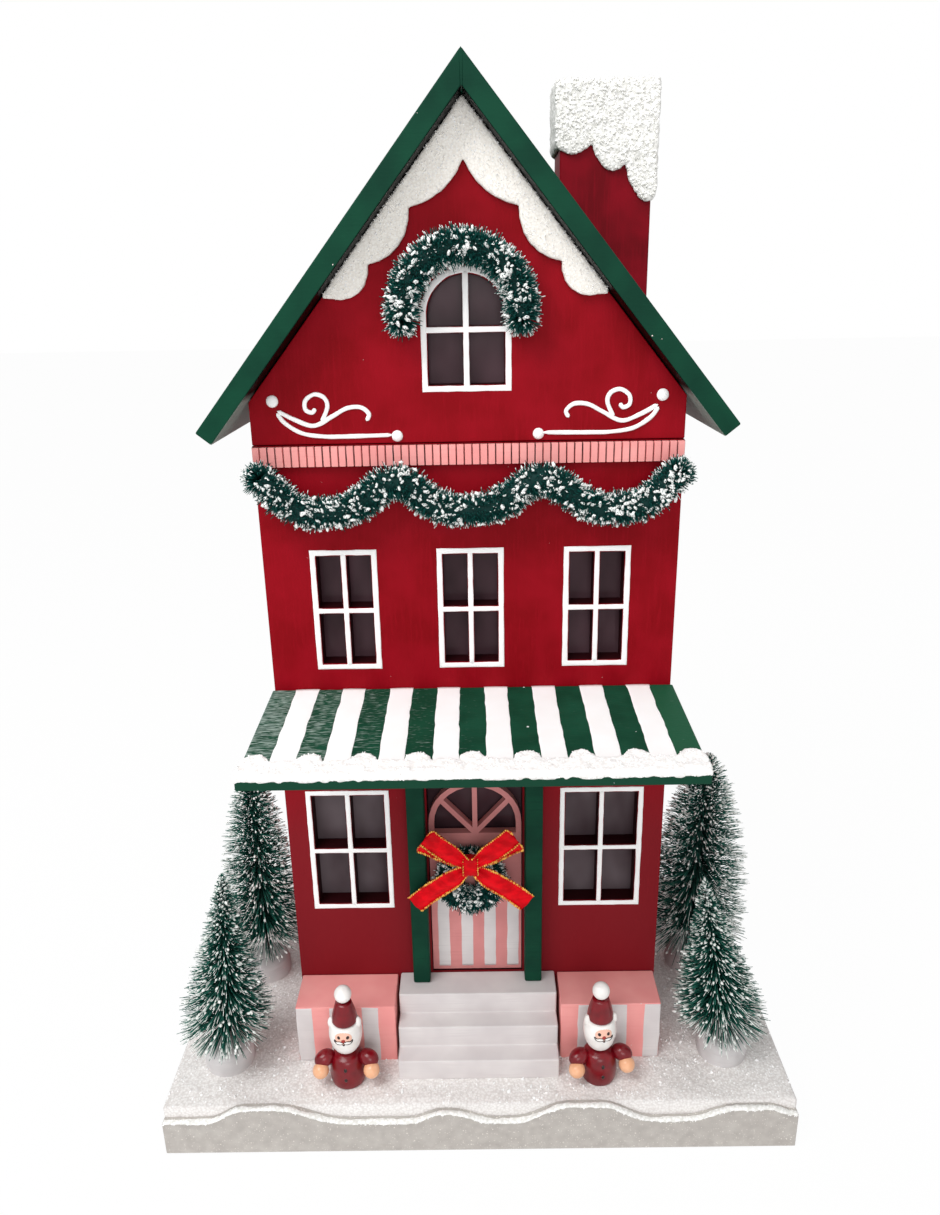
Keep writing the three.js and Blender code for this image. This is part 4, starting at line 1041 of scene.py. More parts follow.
# %% Brush helpers
def brush_finish(name, deep, bright, frost_from, white):
    """Dyed fibre, painted dark at the wire and brighter outwards as the shade inside the brush, white
    from frost_from of its length.
    """
    material, tree, shader, _ = finish(name, 0.6, IOR=1.5, Specular_IOR_Level=0.15)
    along = add(tree, "Attribute", attribute_name="along").outputs["Fac"]
    tone = add(tree, "Attribute", attribute_name="tone").outputs["Fac"]
    lit = sharpened(tree, along, 0.25, 0.95)
    green = blended(tree, lit, deep, bright)
    green = blended(tree, tone, green, deep)
    frost = sharpened(tree, along, frost_from, frost_from + 0.1)
    tree.links.new(blended(tree, frost, green, white), shader.inputs["Base Color"])
    return material


garland_brush = brush_finish("dyed_fibre_heavy_flock", "#032E2B", "#0F6C63", 0.9, "#FAFBF9")
tree_brush = brush_finish("dyed_fibre_light_flock", "#0A4339", "#3B8A78", 0.84, "#F2F5F1")
BRISTLE = "brush_bristle"
FLOCKED = 1.5
LUMP_STRETCH = 1.9
GARLAND_FIBRE, TREE_FIBRE = 0.3, 0.26
CORE_SHARE = 0.66
DIPPED, UNDIPPED, DARKEST = (-0.05, 0.1), -0.4, 0.55
UNEVEN, FAN_OUT, BEND = 0.2, 2.5, 0.1
SHORTEST, TRIM_WAVE, CLUMPS = 0.8, 0.06, 0.2
FRINGE, FRONT_WHITE, SIDE_WHITE = 0.4, 0.08, 0.62
RINGS = np.array([0.0, 0.7, 0.84, 1.0])
TAPER = np.array([1.0, 0.9, 1.0, 0.7])


def across_of(direction):
    """Two unit vectors square to each direction and to each other."""
    helper = np.where(np.abs(direction[:, 2:]) < 0.8, [[0, 0, 1.0]], [[1.0, 0, 0]])
    first = np.cross(direction, helper)
    first /= np.linalg.norm(first, axis=1, keepdims=True)
    return first, np.cross(direction, first)


def fibres(roots, direction, length, thick, droop, rng, white_share):
    """Bent three-sided fibres; also how far along each point is and each fibre's darkness."""
    count = len(roots)
    first, second = across_of(direction)
    t = RINGS[None, :, None]
    middle = roots[:, None] + direction[:, None] * length[:, None, None] * t
    middle = middle + droop[:, None] * length[:, None, None] * t**2
    turn = 2 * np.pi * np.arange(3) / 3 + rng.uniform(0, 2, (count, 1))
    ring = (np.cos(turn)[..., None] * first[:, None] + np.sin(turn)[..., None] * second[:, None])
    radius = thick / 2 * TAPER[None, :, None, None]
    points = middle[:, :, None] + ring[:, None] * radius
    early = np.where(rng.random(count) < white_share, rng.uniform(*DIPPED, count), UNDIPPED)
    along = RINGS[None, :, None] + early[:, None, None] * (RINGS[None, :, None] > 0.5)
    dark = np.repeat(rng.uniform(0, DARKEST, count), len(RINGS) * 3)
    return lofts(points), np.broadcast_to(along, points.shape[:3]).ravel(), dark, middle[:, -1]


def flock(tips, direction, low, high, rng):
    """Lumps of flock at fibre tips, about twice as long as wide, their long side along direction."""
    count = len(tips)
    first, second = across_of(direction)
    size = rng.uniform(low, high, (count, 1, 1)) / 2
    shape = ICOSAHEDRON[None] * size * rng.uniform(0.7, 1.25, (count, 12, 1))
    points = (shape[..., :1] * direction[:, None] * LUMP_STRETCH + shape[..., 1:2] * first[:, None]
              + shape[..., 2:] * second[:, None] + tips[:, None])
    faces = ICO_FACES[None] + 12 * np.arange(count)[:, None, None]
    return points.reshape(-1, 3), [faces.reshape(-1, 3)]


def along_path(path, where):
    """Points of a path at shares 0..1 of its length, and its directions there."""
    at = where * reach_of(path)[-1]
    tangent = point_at(path, at + 0.3) - point_at(path, at - 0.3)
    return point_at(path, at), tangent / np.linalg.norm(tangent, axis=1, keepdims=True)


def tube(points, radius, sides=10):
    """A round tube through points, its radius one number or one for each point."""
    tangent = np.gradient(points, axis=0)
    tangent /= np.linalg.norm(tangent, axis=1, keepdims=True)
    first, second = across_of(tangent)
    turn = 2 * np.pi * np.arange(sides) / sides
    ring = np.cos(turn)[None, :, None] * first[:, None] + np.sin(turn)[None, :, None] * second[:, None]
    return lofts((points[:, None] + ring * np.reshape(radius, (-1, 1, 1)))[None])


def brush_piece(name, parts, material, replaces):
    """Joins (points, faces, along, tone) parts into one brush; a single number serves all points."""
    every = lambda k: np.concatenate([np.broadcast_to(part[k], len(part[0])) for part in parts])
    made = piece(name, *joined(*[part[:2] for part in parts]), material, BRISTLE, replaces,
                 along=every(2), tone=every(3))
    print(name, len(made.data.polygons), "faces")


def garland(name, path, radius, count, drops, seed, replaces, back_y, ends=0.0):
    """A bent bottle brush: fibres square to the path all round, trimmed to radius, none of them
    reaching through the wall behind it. A share of them stands at the two ends and fans out there
    to close the brush in a round tuft."""
    rng = np.random.default_rng(seed)
    where = rng.random(count)
    tuft = rng.random(count) < ends
    where = np.where(tuft, np.round(where), where)
    root, tangent = along_path(path, where)
    first, second = across_of(tangent)
    turn = rng.uniform(0, 2 * np.pi, count)[:, None]
    out = np.cos(turn) * first + np.sin(turn) * second + UNEVEN * rng.normal(size=(count, 3))
    out += (tuft * (2 * where - 1) * rng.uniform(0, FAN_OUT, count))[:, None] * tangent
    out /= np.linalg.norm(out, axis=1, keepdims=True)
    length = radius * rng.uniform(SHORTEST, 1.0, count) * (1 + TRIM_WAVE * value_noise(root, 5, seed))
    room = (back_y - root[:, 1]) / np.maximum(out[:, 1], 1e-3)
    length = np.where(out[:, 1] > 0, np.minimum(length, room * 0.97), length)
    droop = BEND * rng.normal(size=(count, 3))
    droop[:, 1] = np.minimum(droop[:, 1], 0)
    fringe = FRONT_WHITE + SIDE_WHITE * (np.abs(out[:, 1]) < FRINGE)
    (points, faces), along, dark, tips = fibres(root, out, length, GARLAND_FIBRE, droop, rng, fringe)
    clump = CLUMPS * value_noise(tips, 3.4, seed + 1) + rng.random(count)
    chosen = np.argsort(-clump)[: drops * 2]
    chosen = chosen[out[chosen, 1] < 0.3][:drops]
    anyhow = rng.normal(size=(len(chosen), 3)) * (1, 0.4, 0.7)
    anyhow /= np.linalg.norm(anyhow, axis=1, keepdims=True)
    lumps = flock(tips[chosen] - out[chosen] * 0.7, anyhow, 0.5, 1.15, rng)
    # The core tube fills the brush near the wire and takes its darkest colour: painted shade for the
    # packed fibres there.
    core = tube(along_path(path, np.linspace(0, 1, 3 * len(path)))[0], radius * CORE_SHARE)
    brush_piece(name, [(points, faces, along, dark), (*lumps, FLOCKED, 0), (*core, 0, 0.4)],
                garland_brush, replaces)


# %% [markdown]
# The swag garland hangs under the band in three even waves. Its middle line is a cosine with a
# share of its second harmonic, which makes the troughs broad and the crests narrow, and a little
# wander; its two ends are lifted. The arch garland is half a circle over the gable window with
# two short straight legs, and the wreath is a ring.

# %% Garlands
swag_low, swag_high = span("swag_garland")
BRUSH_R = 5.2
SWAGS, BROAD_TROUGH = 3, 0.2
TUFT = 0.75 * BRUSH_R
OFF_WALL = 0.2
END_LIFT, END_LENGTH = 2.2, 9
x = np.linspace(swag_low[0] + TUFT, swag_high[0] - TUFT, 121)
drop = (swag_high[2] - swag_low[2]) / 2 - BRUSH_R
swag_mid = (swag_low[2] + swag_high[2]) / 2
phase = 2 * np.pi * x / ((swag_high[0] - swag_low[0]) / SWAGS)
swag_z = swag_mid - drop * (np.cos(phase) - BROAD_TROUGH * np.cos(2 * phase) + BROAD_TROUGH)
path = np.c_[x, np.full(121, (swag_low[1] + swag_high[1]) / 2), swag_z]
near_end = np.clip((np.abs(x) - x[-1]) / END_LENGTH + 1, 0, 1)
path[:, 2] += 0.5 * value_noise(path, 9, 5) + END_LIFT * near_end
garland("swag_brush", path, BRUSH_R, count=10500, drops=760, seed=41, replaces=["swag_garland"],
        back_y=wall_y - OFF_WALL, ends=0.08)

arch_low, arch_high = span("arch_garland")
arch_r = (arch_high[0] - arch_low[0]) / 2 - BRUSH_R
arch_x = (arch_high[0] + arch_low[0]) / 2
arch_z = arch_high[2] - BRUSH_R - arch_r
turn = np.linspace(0, np.pi, 61)
curve = np.c_[arch_r * np.cos(turn), np.zeros(61), arch_z + arch_r * np.sin(turn)]
leg = arch_low[2] + TUFT / 3
path = np.vstack([[arch_r, 0, leg], curve, [-arch_r, 0, leg]]) + (arch_x, 0, 0)
path[:, 1] = (arch_low[1] + arch_high[1]) / 2
path[:, 2] += 0.3 * value_noise(path, 8, 6)
garland("arch_brush", path, BRUSH_R, count=6400, drops=330, seed=51, replaces=["arch_garland"],
        back_y=wall_y - OFF_WALL, ends=0.1)

wreath_low, wreath_high = span("door_wreath")
WREATH_BRUSH_R = (wreath_high[1] - wreath_low[1]) / 2
wreath_mid = (wreath_low + wreath_high) / 2
wreath_r = (wreath_high[0] - wreath_low[0]) / 2 - WREATH_BRUSH_R * 1.3
turn = np.linspace(0, 2 * np.pi, 81)
path = wreath_mid + wreath_r * np.stack([np.cos(turn), 0 * turn, np.sin(turn)], -1)
garland("wreath_brush", path, WREATH_BRUSH_R * 1.32, count=4200, drops=300, seed=61,
        replaces=["door_wreath"], back_y=door_y - OFF_WALL)

# %% [markdown]
# A tree is a straight brush trimmed to a cone, a slim one at the front and a fuller one beside the
# house. Its fibres hang a little at the foot, lie level above it and rise at the top. They stand
# in the two opposite rows that a twisted wire holds, winding round it as the wire does, so the
# tree's edge is a comb that light shines through. At shares of the brush's height, LIFT says how
# many degrees a fibre rises there and TRIM how long it is, as a share of the longest. The stems
# are soft wire bent by hand: three of the trees lean, and the one at the front right is a little
# shorter.

# %% Bottle-brush trees
WIRE_TURN, WIRE_R = 3.1, 0.7
ROW_PITCH, ROW_SPREAD = 2.6, 0.32
BARE_WIRE = 6.5
TRUNK_R = 0.9
MORE_BELOW = 1.3
LIFT = ([0, 0.04, 0.12, 0.3, 0.85, 1], [-10, -6, 0, 7, 15, 62])
FOOT_GAP = {"front": 1.5, "rear": 3.5}
LUMPS = {"front": 470, "rear": 620}
TREE_FIBRES = 2300
TRIM = {"front": ([0, 0.14, 0.31, 0.48, 0.64, 0.8, 0.93, 1],
                  [1.0, 0.98, 0.8, 0.62, 0.45, 0.28, 0.17, 0.08]),
        "rear": ([0, 0.1, 0.25, 0.45, 0.62, 0.77, 0.9, 1],
                 [1.02, 1.01, 0.96, 0.84, 0.7, 0.54, 0.34, 0.1])}
TREES = {"front_left": (5.7, -4, 1, 1), "front_right": (-11, -4, 0.92, 1),
         "rear_left": (0, 0, 1, 1), "rear_right": (3.4, 0, 1, 1.27)}


def wire(foot, top, radius):
    """Two strands of thin wire twisted together: each a tube along a helix."""
    z = np.linspace(0, 1, 180)
    turn = 2 * np.pi * z * (top - foot)[2] / WIRE_TURN
    parts = []
    for phase in (0, np.pi):
        path = foot + (top - foot) * z[:, None]
        path = path + radius / 2 * np.stack([np.cos(turn + phase), np.sin(turn + phase), 0 * z], -1)
        parts.append(tube(path, radius / 2, 6))
    return joined(*parts)


def brush_tree(where, count, seed):
    """One tree in its CAD node's place. TREES says how far its top leans in x and y, in mm, and
    its height and width as shares of the node's."""
    rng = np.random.default_rng(seed)
    kind = where.split("_")[0]
    low, high = span(f"tree_{where}")
    stand_low, stand_high = span(f"tree_stand_{where}")
    axis = (stand_low + stand_high)[:2] / 2
    radius = (high - low)[:2].max() / 2
    foot = stand_high[2] + FOOT_GAP[kind]
    lean_x, lean_y, tall, wide = TREES[where]
    top = foot + (high[2] - foot) * tall

    def leaning(points):
        """The points pushed sideways in proportion to their height over the stand."""
        rise = np.maximum(points[:, 2:] - foot, 0) / (top - foot)
        return points + rise * (lean_x, lean_y, 0)

    t = ((np.arange(count) + rng.random(count)) / count)**MORE_BELOW
    z = foot + BARE_WIRE + (top - foot - BARE_WIRE - 1.5) * t
    turn = 2 * np.pi * z / ROW_PITCH + np.pi * rng.integers(0, 2, count)
    turn += rng.normal(0, ROW_SPREAD, count)
    lift = np.radians(np.interp(t, *LIFT) + rng.normal(0, 2.5, count))
    out = np.stack([np.cos(turn) * np.cos(lift), np.sin(turn) * np.cos(lift), np.sin(lift)], -1)
    length = radius * wide * np.interp(t, *TRIM[kind]) * rng.uniform(0.84, 1.06, count)
    root = np.c_[np.tile(axis, (count, 1)), z]
    inside = house_high[0] + 0.4
    room = (np.abs(root[:, 0]) - inside) / np.maximum(-out[:, 0] * np.sign(axis[0]), 1e-3)
    beside = root[:, 1] + out[:, 1] * length < house_high[1] + 2
    length = np.where((out[:, 0] * np.sign(axis[0]) < 0) & beside, np.minimum(length, room), length)
    down = (z - slab_high[2]) / np.maximum(-out[:, 2], 1e-3)
    length = np.minimum(length, down * 0.75)
    droop = 0.03 * rng.normal(size=(count, 3)) - (0, 0, 0.04)
    white = np.where(out[:, 1] < -0.35, 0.7, 0.3)
    (points, faces), along, dark, tips = fibres(root, out, length, TREE_FIBRE, droop, rng, white)
    chosen = rng.choice(count, LUMPS[kind], replace=False)
    lumps = flock(tips[chosen] - out[chosen] * rng.uniform(0.2, 2.4, (LUMPS[kind], 1)), out[chosen],
                  0.45, 1.0, rng)
    # The core fills the tree round the wire and is painted dark, as the shade among the packed fibres
    # there.
    rows = foot + BARE_WIRE + (top - foot - BARE_WIRE - 1) * np.linspace(0, 1, 24)
    slim = np.interp(np.linspace(0, 1, 24), [0, 0.75, 1], [TRUNK_R, TRUNK_R * 0.8, 0.3])
    core, core_faces = tube(np.c_[np.tile(axis, (24, 1)), rows], slim)
    brush_piece(f"brush_tree_{where}",
                [(leaning(points), faces, along, dark), (leaning(lumps[0]), lumps[1], FLOCKED, 0),
                 (leaning(core), core_faces, 0, 0.6)], tree_brush, [f"tree_{where}"])
    base = np.array([*axis, stand_high[2] - 3])
    stem, stem_faces = wire(base, base + (0, 0, top - base[2] - 3), WIRE_R)
    piece(f"tree_wire_{where}", leaning(stem), stem_faces, steel, BRISTLE)


steel = two_toned("galvanised_wire", 0.35, ("#8E9293", "#B9BDBD"), (1, 1, 1), Metallic=1.0)
for k, where in enumerate(TREES):
    brush_tree(where, TREE_FIBRES, 71 + k)

# %% [markdown]
# The tree stands are turned discs with a soft shoulder, painted white. The CAD disc has flat
# sides all round; the turned form is a loft of circles whose profile runs smoothly through a few
# points, from the foot over the shoulder to the hole round the wire.

# %% Turned forms
def turned(line, centre, sides=56):
    """A loft of circles: radius and height from the profile, about an upright axis."""
    turn = 2 * np.pi * np.arange(sides) / sides
    r = np.maximum(line[:, :1], 0.02)
    return lofts(np.stack(np.broadcast_arrays(centre[0] + r * np.cos(turn), centre[1] + r * np.sin(turn),
                                              centre[2] + line[:, 1:2]), -1)[None])


stand_paint = painted_board("white_wash_on_beech", "#DEDBDB", "#CBC7C7", roughness=0.6, stray=0.6)
for where in TREES:
    low, high = span(f"tree_stand_{where}")
    r, h = (high[0] - low[0]) / 2, high[2] - low[2]
    line = through([(r * 0.96, 0), (r, 0.5), (r, h * 0.5), (r * 0.985, h * 0.66), (r * 0.9, h * 0.85),
                    (r * 0.7, h * 0.965), (r * 0.4, h), (1.0, h), (0.8, h * 0.9), (0.4, h * 0.8)], 8)
    line = np.vstack([[0.05, 0], [r * 0.9, 0], line])
    piece(f"stand_{where}", *turned(line, [*(low + high)[:2] / 2, low[2]]), stand_paint, WHITE,
          [f"tree_stand_{where}"])
print("four stands")

# %% [markdown]
# The bow is narrow red satin ribbon, finely ribbed across, with a gold thread along each edge.
# Ribbon bends one way only, so each length is a ruled strip: a middle line in space, and a width
# that lies in the picture's plane. Near the knot it narrows and is pleated. A loop goes out on
# the front, turns, and comes back a few degrees lower behind. The tails hang in a slow wave.

# %% Ribbon bow
RIBBON_W, RIBBON_T = 6.6, 0.22
LOOP_L, TAIL_L = 17.4, 23.2
LOOP_UP, LOOP_BACK, TAIL_DOWN = np.radians([39.5, 29.0, 38.5])
knot_low, knot_high = span("bow_knot")
knot_mid = (knot_low + knot_high) / 2
PLEAT, CUP = 0.62, 0.3
LOOP_FORWARD, LOOP_DEEP, LOOP_ROUND = 0.9, 1.55, 0.75
TAIL_FORWARD, TAIL_WAVE = 0.4, 0.5
WEAVE = 0.35
STITCH, STITCH_HALF, THREAD_R, THREAD_SWELL = 0.75, 0.32, 0.17, 0.09


def ribbon_strip(u, angle, depth, flip):
    """Grid of a strip: u along it from the knot, angle from level at each u, depth in front of
    the knot. The width narrows to half at the knot and is pleated there."""
    v = np.linspace(-1, 1, 17)
    gather = np.clip(u / (LOOP_L / 2), 0, 1)
    gather = gather**2 * (3 - 2 * gather)
    half = RIBBON_W / 2 * (0.5 + 0.5 * gather)[:, None] * v
    pleat = PLEAT * (1 - gather)[:, None] * np.cos(2.5 * np.pi * v)
    pleat = pleat + CUP * np.cos(1.3 * np.pi * v + 0.5)
    cx, cz = np.cos(angle)[:, None], np.sin(angle)[:, None]
    x = knot_mid[0] + flip * (u[:, None] * cx - half * cz)
    z = knot_mid[2] + u[:, None] * cz + half * cx
    y = knot_mid[1] - depth[:, None] - pleat
    return np.stack([x, y, z], -1)


def sheet_of(grid, thick):
    """A closed thin sheet from a grid: each ring goes across the front and back behind it."""
    normal = np.cross(np.gradient(grid, axis=0), np.gradient(grid, axis=1))
    normal /= np.maximum(np.linalg.norm(normal, axis=-1, keepdims=True), 1e-9)
    ring = np.concatenate([grid + normal * thick / 2, (grid - normal * thick / 2)[:, ::-1]], axis=1)
    return lofts(ring[None])


def gold_thread(edge, seed=0):
    """A picot along an edge: a thread that snakes over it once every stitch, thick on the face
    of the ribbon and thin where it dives behind, each stitch of its own size."""
    at = np.arange(0, reach_of(edge)[-1], 0.1)
    line = point_at(edge, at)
    wave = 2 * np.pi * at / STITCH
    size = 1 + 0.45 * value_noise(np.c_[at, at * 0 + seed, at * 0], STITCH, 17)
    line[:, 1] -= 0.2 + 0.1 * np.sin(wave)
    line[:, 2] += STITCH_HALF * size * np.cos(wave)
    return tube(line, (THREAD_R + THREAD_SWELL * np.sin(wave)) * size, 6)


s = np.linspace(0, 1, 60)
out = LOOP_L * np.sin(np.pi * s)**LOOP_ROUND
front = np.clip((0.5 - s) * 14, -1, 1) * 0.5 + 0.5
loop_angle = LOOP_BACK + (LOOP_UP - LOOP_BACK) * front
loop_depth = LOOP_FORWARD + LOOP_DEEP * np.cos(np.pi * s) * np.sin(np.pi * s)**0.5
u = np.linspace(0, TAIL_L, 40)
tail_depth = TAIL_FORWARD + TAIL_WAVE * np.sin(2 * np.pi * u / TAIL_L)
strips, threads = [], []
for flip in (-1, 1):
    loop = ribbon_strip(out, loop_angle, loop_depth, flip)
    tail = ribbon_strip(u, np.full(len(u), -TAIL_DOWN), tail_depth, flip)
    for grid in (loop, tail):
        points, faces = sheet_of(grid, RIBBON_T)
        faces = faces if flip < 0 else [block[:, ::-1] for block in faces]
        strips.append((points, faces))
        threads += [gold_thread(grid[:, 0], 3 + flip), gold_thread(grid[:, -1], 8 + flip)]

# The two reds change in soft patches: painted sheen and shade on the satin.
red_satin = two_toned("red_satin_ribbon", 0.42, ("#EC0418", "#C80010"), (4, 4, 2.5), (0.38, 0.62),
                      (WEAVE, 4, WEAVE), 0.03, IOR=1.5, Specular_IOR_Level=0.08)
gold = two_toned("gold_lurex_thread", 0.35, ("#FFC95C", "#CE3A1A"), (0.75, 0.75, 0.75), (0.48, 0.56),
                 Metallic=0.5)
bow = piece("bow_ribbon", *joined(*strips), red_satin, "satin_ribbon", ["ribbon_bow"])

turn = np.linspace(0, 2 * np.pi, 48, endpoint=False)
half = (knot_high - knot_low) / 2
band_v = np.linspace(-1, 1, 9)
swell = 1 + 0.08 * (1 - band_v**2) + 0.035 * np.cos(3 * np.pi * band_v)
superellipse = lambda c: np.sign(c) * np.abs(c)**0.7


def knot_ring(grow):
    """Loops round the waist: a rounded rectangle in depth and height, wider in the middle."""
    y = knot_mid[1] - (half[1] + 0.15 + grow) * superellipse(np.cos(turn)) * swell[:, None]
    z = knot_mid[2] + (half[2] + grow) * superellipse(np.sin(turn)) * swell[:, None]
    x = knot_mid[0] + half[0] * band_v[:, None] + 0 * y
    return np.stack([x, y, z], -1)


outer, inner = knot_ring(0.15), knot_ring(-RIBBON_T)
section = np.concatenate([inner, outer[::-1]], axis=0).transpose(1, 0, 2)
knot = piece("bow_knot_band", *lofts(section[None], closed=True), red_satin, "satin_ribbon", ["bow_knot"])
for edge in (outer[0], outer[-1]):
    threads.append(gold_thread(np.vstack([edge, edge[:1]])))
edging = piece("bow_gold_thread", *joined(*threads), gold, "satin_ribbon")
print("bow with", len(threads), "edge threads")

# %% [markdown]
# The two dolls are small turned beads pegged together and dipped in glossy enamel: a red body,
# a white egg for hair and beard, a red hat with a white ball, bead sleeves and hands. Each bead
# is a loft of circles about its own axis. The faces are dabs of paint put on with a fine brush: a
# peach patch, a moustache in a thin line, two eyes, a nose and a dot for the mouth.

# %% Dolls
def enamel(name, *tones):
    """Dipped gloss enamel on turned wood: almost even, a low roughness under a clear coat."""
    return two_toned(name, 0.3, tones, (3, 3, 3), bumps=(1.6, 1.6, 1.6), depth=0.05, IOR=1.5,
                     Specular_IOR_Level=0.3, Coat_Weight=0.25, Coat_Roughness=0.1)


doll_red = enamel("red_enamel", "#7E0314", "#680210")
doll_white = enamel("white_enamel", "#F7F4F1", "#ECE8E4")
doll_skin = enamel("peach_enamel", "#F0B892", "#E8A97F")
doll_face = enamel("rosy_face_wash", "#F6C8B4", "#F0B8A2")
doll_dark = enamel("dark_brown_enamel", "#2E1512", "#1E0E0C")
doll_nose = enamel("red_brown_enamel", "#A83228", "#962A22")
RED_DOLL, WHITE_DOLL, SKIN_DOLL = "doll_red", "doll_white", "doll_skin"
POLE_GAP, BALL_ROWS, BALL_SIDES = 0.04, 24, 36


def ball(centre, radius, tall=1.0):
    """A sphere as a loft: radius times sine and height times minus cosine of one angle."""
    a = np.linspace(POLE_GAP, np.pi - POLE_GAP, BALL_ROWS)
    return turned(np.c_[radius * np.sin(a), -radius * tall * np.cos(a)], centre, BALL_SIDES)


def head_front(centre, line, angle):
    """A surface for paint: u runs round the head from its front, v is a height on it."""
    def surface(u, v, out):
        r = np.interp(v, line[:, 1], line[:, 0])
        slope = np.interp(v, line[:, 1], np.gradient(line[:, 0], line[:, 1]))
        level = 1 / np.sqrt(1 + slope**2)
        a = angle + u / np.maximum(r, 1)
        reach = r + out * level
        return np.stack([centre[0] + reach * np.sin(a), centre[1] - reach * np.cos(a),
                         centre[2] + v - out * slope * level], -1)
    return surface


def doll_bead(doll, part, made, centre, corners, material, slot):
    """A bead turned in place of the CAD's: its profile runs smoothly through corners, written in
    shares of the node's radius and height, and is closed on the axis at its blunt ends."""
    low, high = span(f"{doll}_{part}")
    r, foot, h = (high[0] - low[0]) / 2, low[2] - centre[2], high[2] - low[2]
    line = through(np.array(corners) * (r, h) + (0, foot), 8)
    start = [[0.05, foot]] if line[0, 0] > 1 else []
    whole = np.vstack([*start, line, [0.05, foot + h]])
    piece(f"{doll}_{made}", *turned(whole, centre), material, slot, [f"{doll}_{part}"])
    return line, foot, r, h


BODY = [(0.8, 0), (0.93, 0.0603), (1, 0.25), (1, 0.5), (0.95, 0.72), (0.8, 0.9), (0.5, 1)]
HEAD = [(0.0566, 0), (0.55, 0.07), (0.84, 0.25), (0.98, 0.5), (1, 0.66), (0.95, 0.84), (0.84, 0.97),
        (0.6, 1)]
HAT = [(0.97, 0), (1, 0.08), (0.93, 0.35), (0.78, 0.7), (0.62, 1)]
HALF_LIP = np.array([(0.15, 0.655), (1.1, 0.68), (2.2, 0.66), (3.0, 0.69), (2.7, 0.625), (1.7, 0.585),
                     (0.6, 0.6), (0.15, 0.63)])
DOLL_TURNS = {"left": 0.0, "right": np.radians(7)}
BUTTONS, SHOULDER = (4.6, 8.3), 9.4
EYES_AT, PATCH_AT, NOSE_AT, LIP_AT, MOUTH_AT = 0.79, 0.755, 0.7, 0.632, 0.565
EYES_APART, LIP_HALVES = 1.4, 1.35
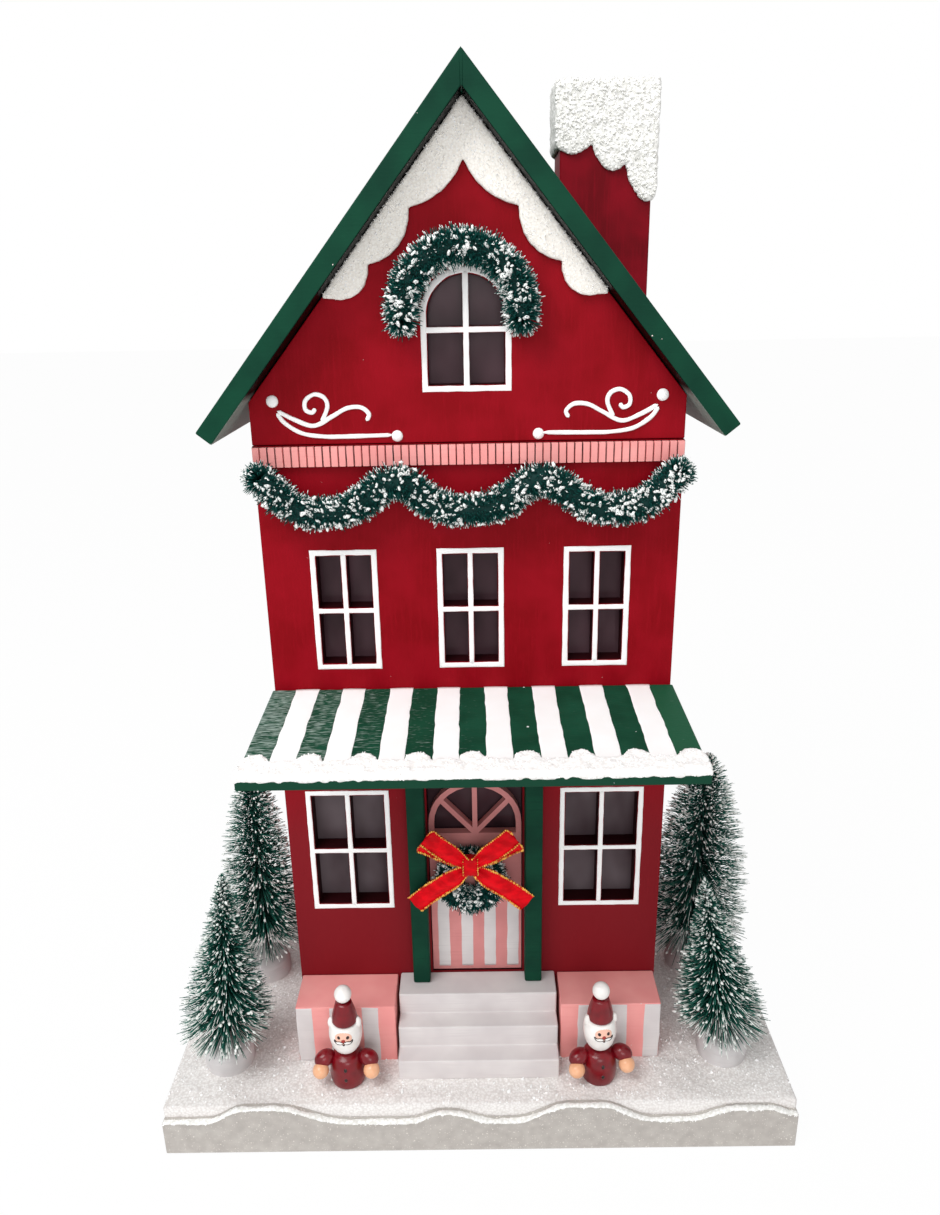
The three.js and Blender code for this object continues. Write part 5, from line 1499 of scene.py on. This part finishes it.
for label, angle in DOLL_TURNS.items():
    name = f"doll_{label}"
    low, high = span(f"{name}_body")
    centre = np.array([*(low + high)[:2] / 2, low[2]])
    body_line = doll_bead(name, "body", "body_bead", centre, BODY, doll_red, RED_DOLL)[0]
    line, foot, r, h = doll_bead(name, "head", "head_bead", centre, HEAD, doll_white, WHITE_DOLL)
    face = head_front(centre, line, angle)
    patch = dot(0, foot + PATCH_AT * h, 3.0, 0.2, face, tall=0.74)
    piece(f"{name}_face_patch", *patch, doll_face, SKIN_DOLL)
    outline = np.vstack([HALF_LIP, HALF_LIP[::-1] * (-1, 1), HALF_LIP[:1]])
    outline = through(outline, 5)[:-1] * (1, h) + (0, foot)
    lip = [dot(side * LIP_HALVES, foot + LIP_AT * h, LIP_HALVES, 0.42, face, tall=0.42)
           for side in (-1, 1)]
    piece(f"{name}_moustache", *joined(*lip), doll_white, WHITE_DOLL)
    marks = [dot(side * EYES_APART, foot + EYES_AT * h, 0.6, 0.32, face, tall=1.1) for side in (-1, 1)]
    marks += [solid_line(outline, 0.2, 0.34, face, closed=True),
              dot(0.05, foot + MOUTH_AT * h, 0.42, 0.3, face, 0.8)]
    piece(f"{name}_face_marks", *joined(*marks), doll_dark, WHITE_DOLL)
    piece(f"{name}_nose", *dot(0, foot + NOSE_AT * h, 0.66, 0.6, face), doll_nose, SKIN_DOLL)
    across = np.array([np.cos(angle), np.sin(angle), 0])
    crown = centre - 0.12 * r * np.array([-across[1], across[0], 0]) + (0, 0, foot + h * 0.97)
    hair = [ball(crown + side * 0.8 * r * across, 1.15, 1.75) for side in (-1, 1)]
    piece(f"{name}_hair", *joined(*hair), doll_white, WHITE_DOLL)
    front = head_front(centre, body_line, angle)
    buttons = [dot(0, z, 0.55, 0.25, front, tall=1.3) for z in BUTTONS]
    piece(f"{name}_buttons", *joined(*buttons), doll_dark, RED_DOLL)

    doll_bead(name, "hat", "hat_cone", centre, HAT, doll_red, RED_DOLL)
    low, high = span(f"{name}_pompom")
    piece(f"{name}_pompom_ball", *ball((low + high) / 2, (high - low)[2] / 2), doll_white, WHITE_DOLL,
          [f"{name}_pompom"])
    for side in ("left", "right"):
        low, high = span(f"{name}_hand_{side}")
        hand = (low + high) / 2
        piece(f"{name}_hand_{side}_bead", *ball(hand, (high - low)[2] / 2), doll_skin, SKIN_DOLL,
              [f"{name}_hand_{side}"])
        low, high = span(f"{name}_sleeve_{side}")
        axis = hand - centre - (0, 0, SHOULDER)
        axis /= np.linalg.norm(axis)
        points, faces = ball((0, 0, 0), 2.65, 1.3)
        first, second = across_of(axis[None])
        sleeve = points @ np.stack([first[0], second[0], axis]) + (low + high) / 2
        piece(f"{name}_sleeve_{side}_bead", sleeve, faces, doll_red, RED_DOLL,
              [f"{name}_sleeve_{side}"])
print("two dolls")

# %% [markdown]
# The floor and the world are the white paper of a product picture. The floor takes the house's
# soft shadow and is lifted to paper white for the camera and for mirrors only.

# %% Floor
FLOOR_SIZE = 9000
PAPER_LIFT = 0.965
paper, tree, shader, place = finish("white_paper", 0.9)
shader.inputs["Base Color"].default_value = linear("#FAFAFA")
shader.inputs["Specular IOR Level"].default_value = 0.0
share = add(tree, "Math", {1: PAPER_LIFT}, {0: seen_white(tree)}, operation="MULTIPLY")
glow = add(tree, "Emission", {"Color": linear("#FFFFFF")})
mixed = add(tree, "MixShader", None, {0: share.outputs[0], 1: shader.outputs[0], 2: glow.outputs[0]})
tree.links.new(mixed.outputs[0], tree.nodes["Material Output"].inputs["Surface"])
corner = FLOOR_SIZE / 2 * MM
mesh = bpy.data.meshes.new("floor")
mesh.from_pydata([(-corner, -corner, 0), (corner, -corner, 0), (corner, corner, 0),
                  (-corner, corner, 0)], [], [(0, 1, 2, 3)])
mesh.materials.append(paper)
floor = bpy.data.objects.new("floor", mesh)
bpy.context.scene.collection.objects.link(floor)
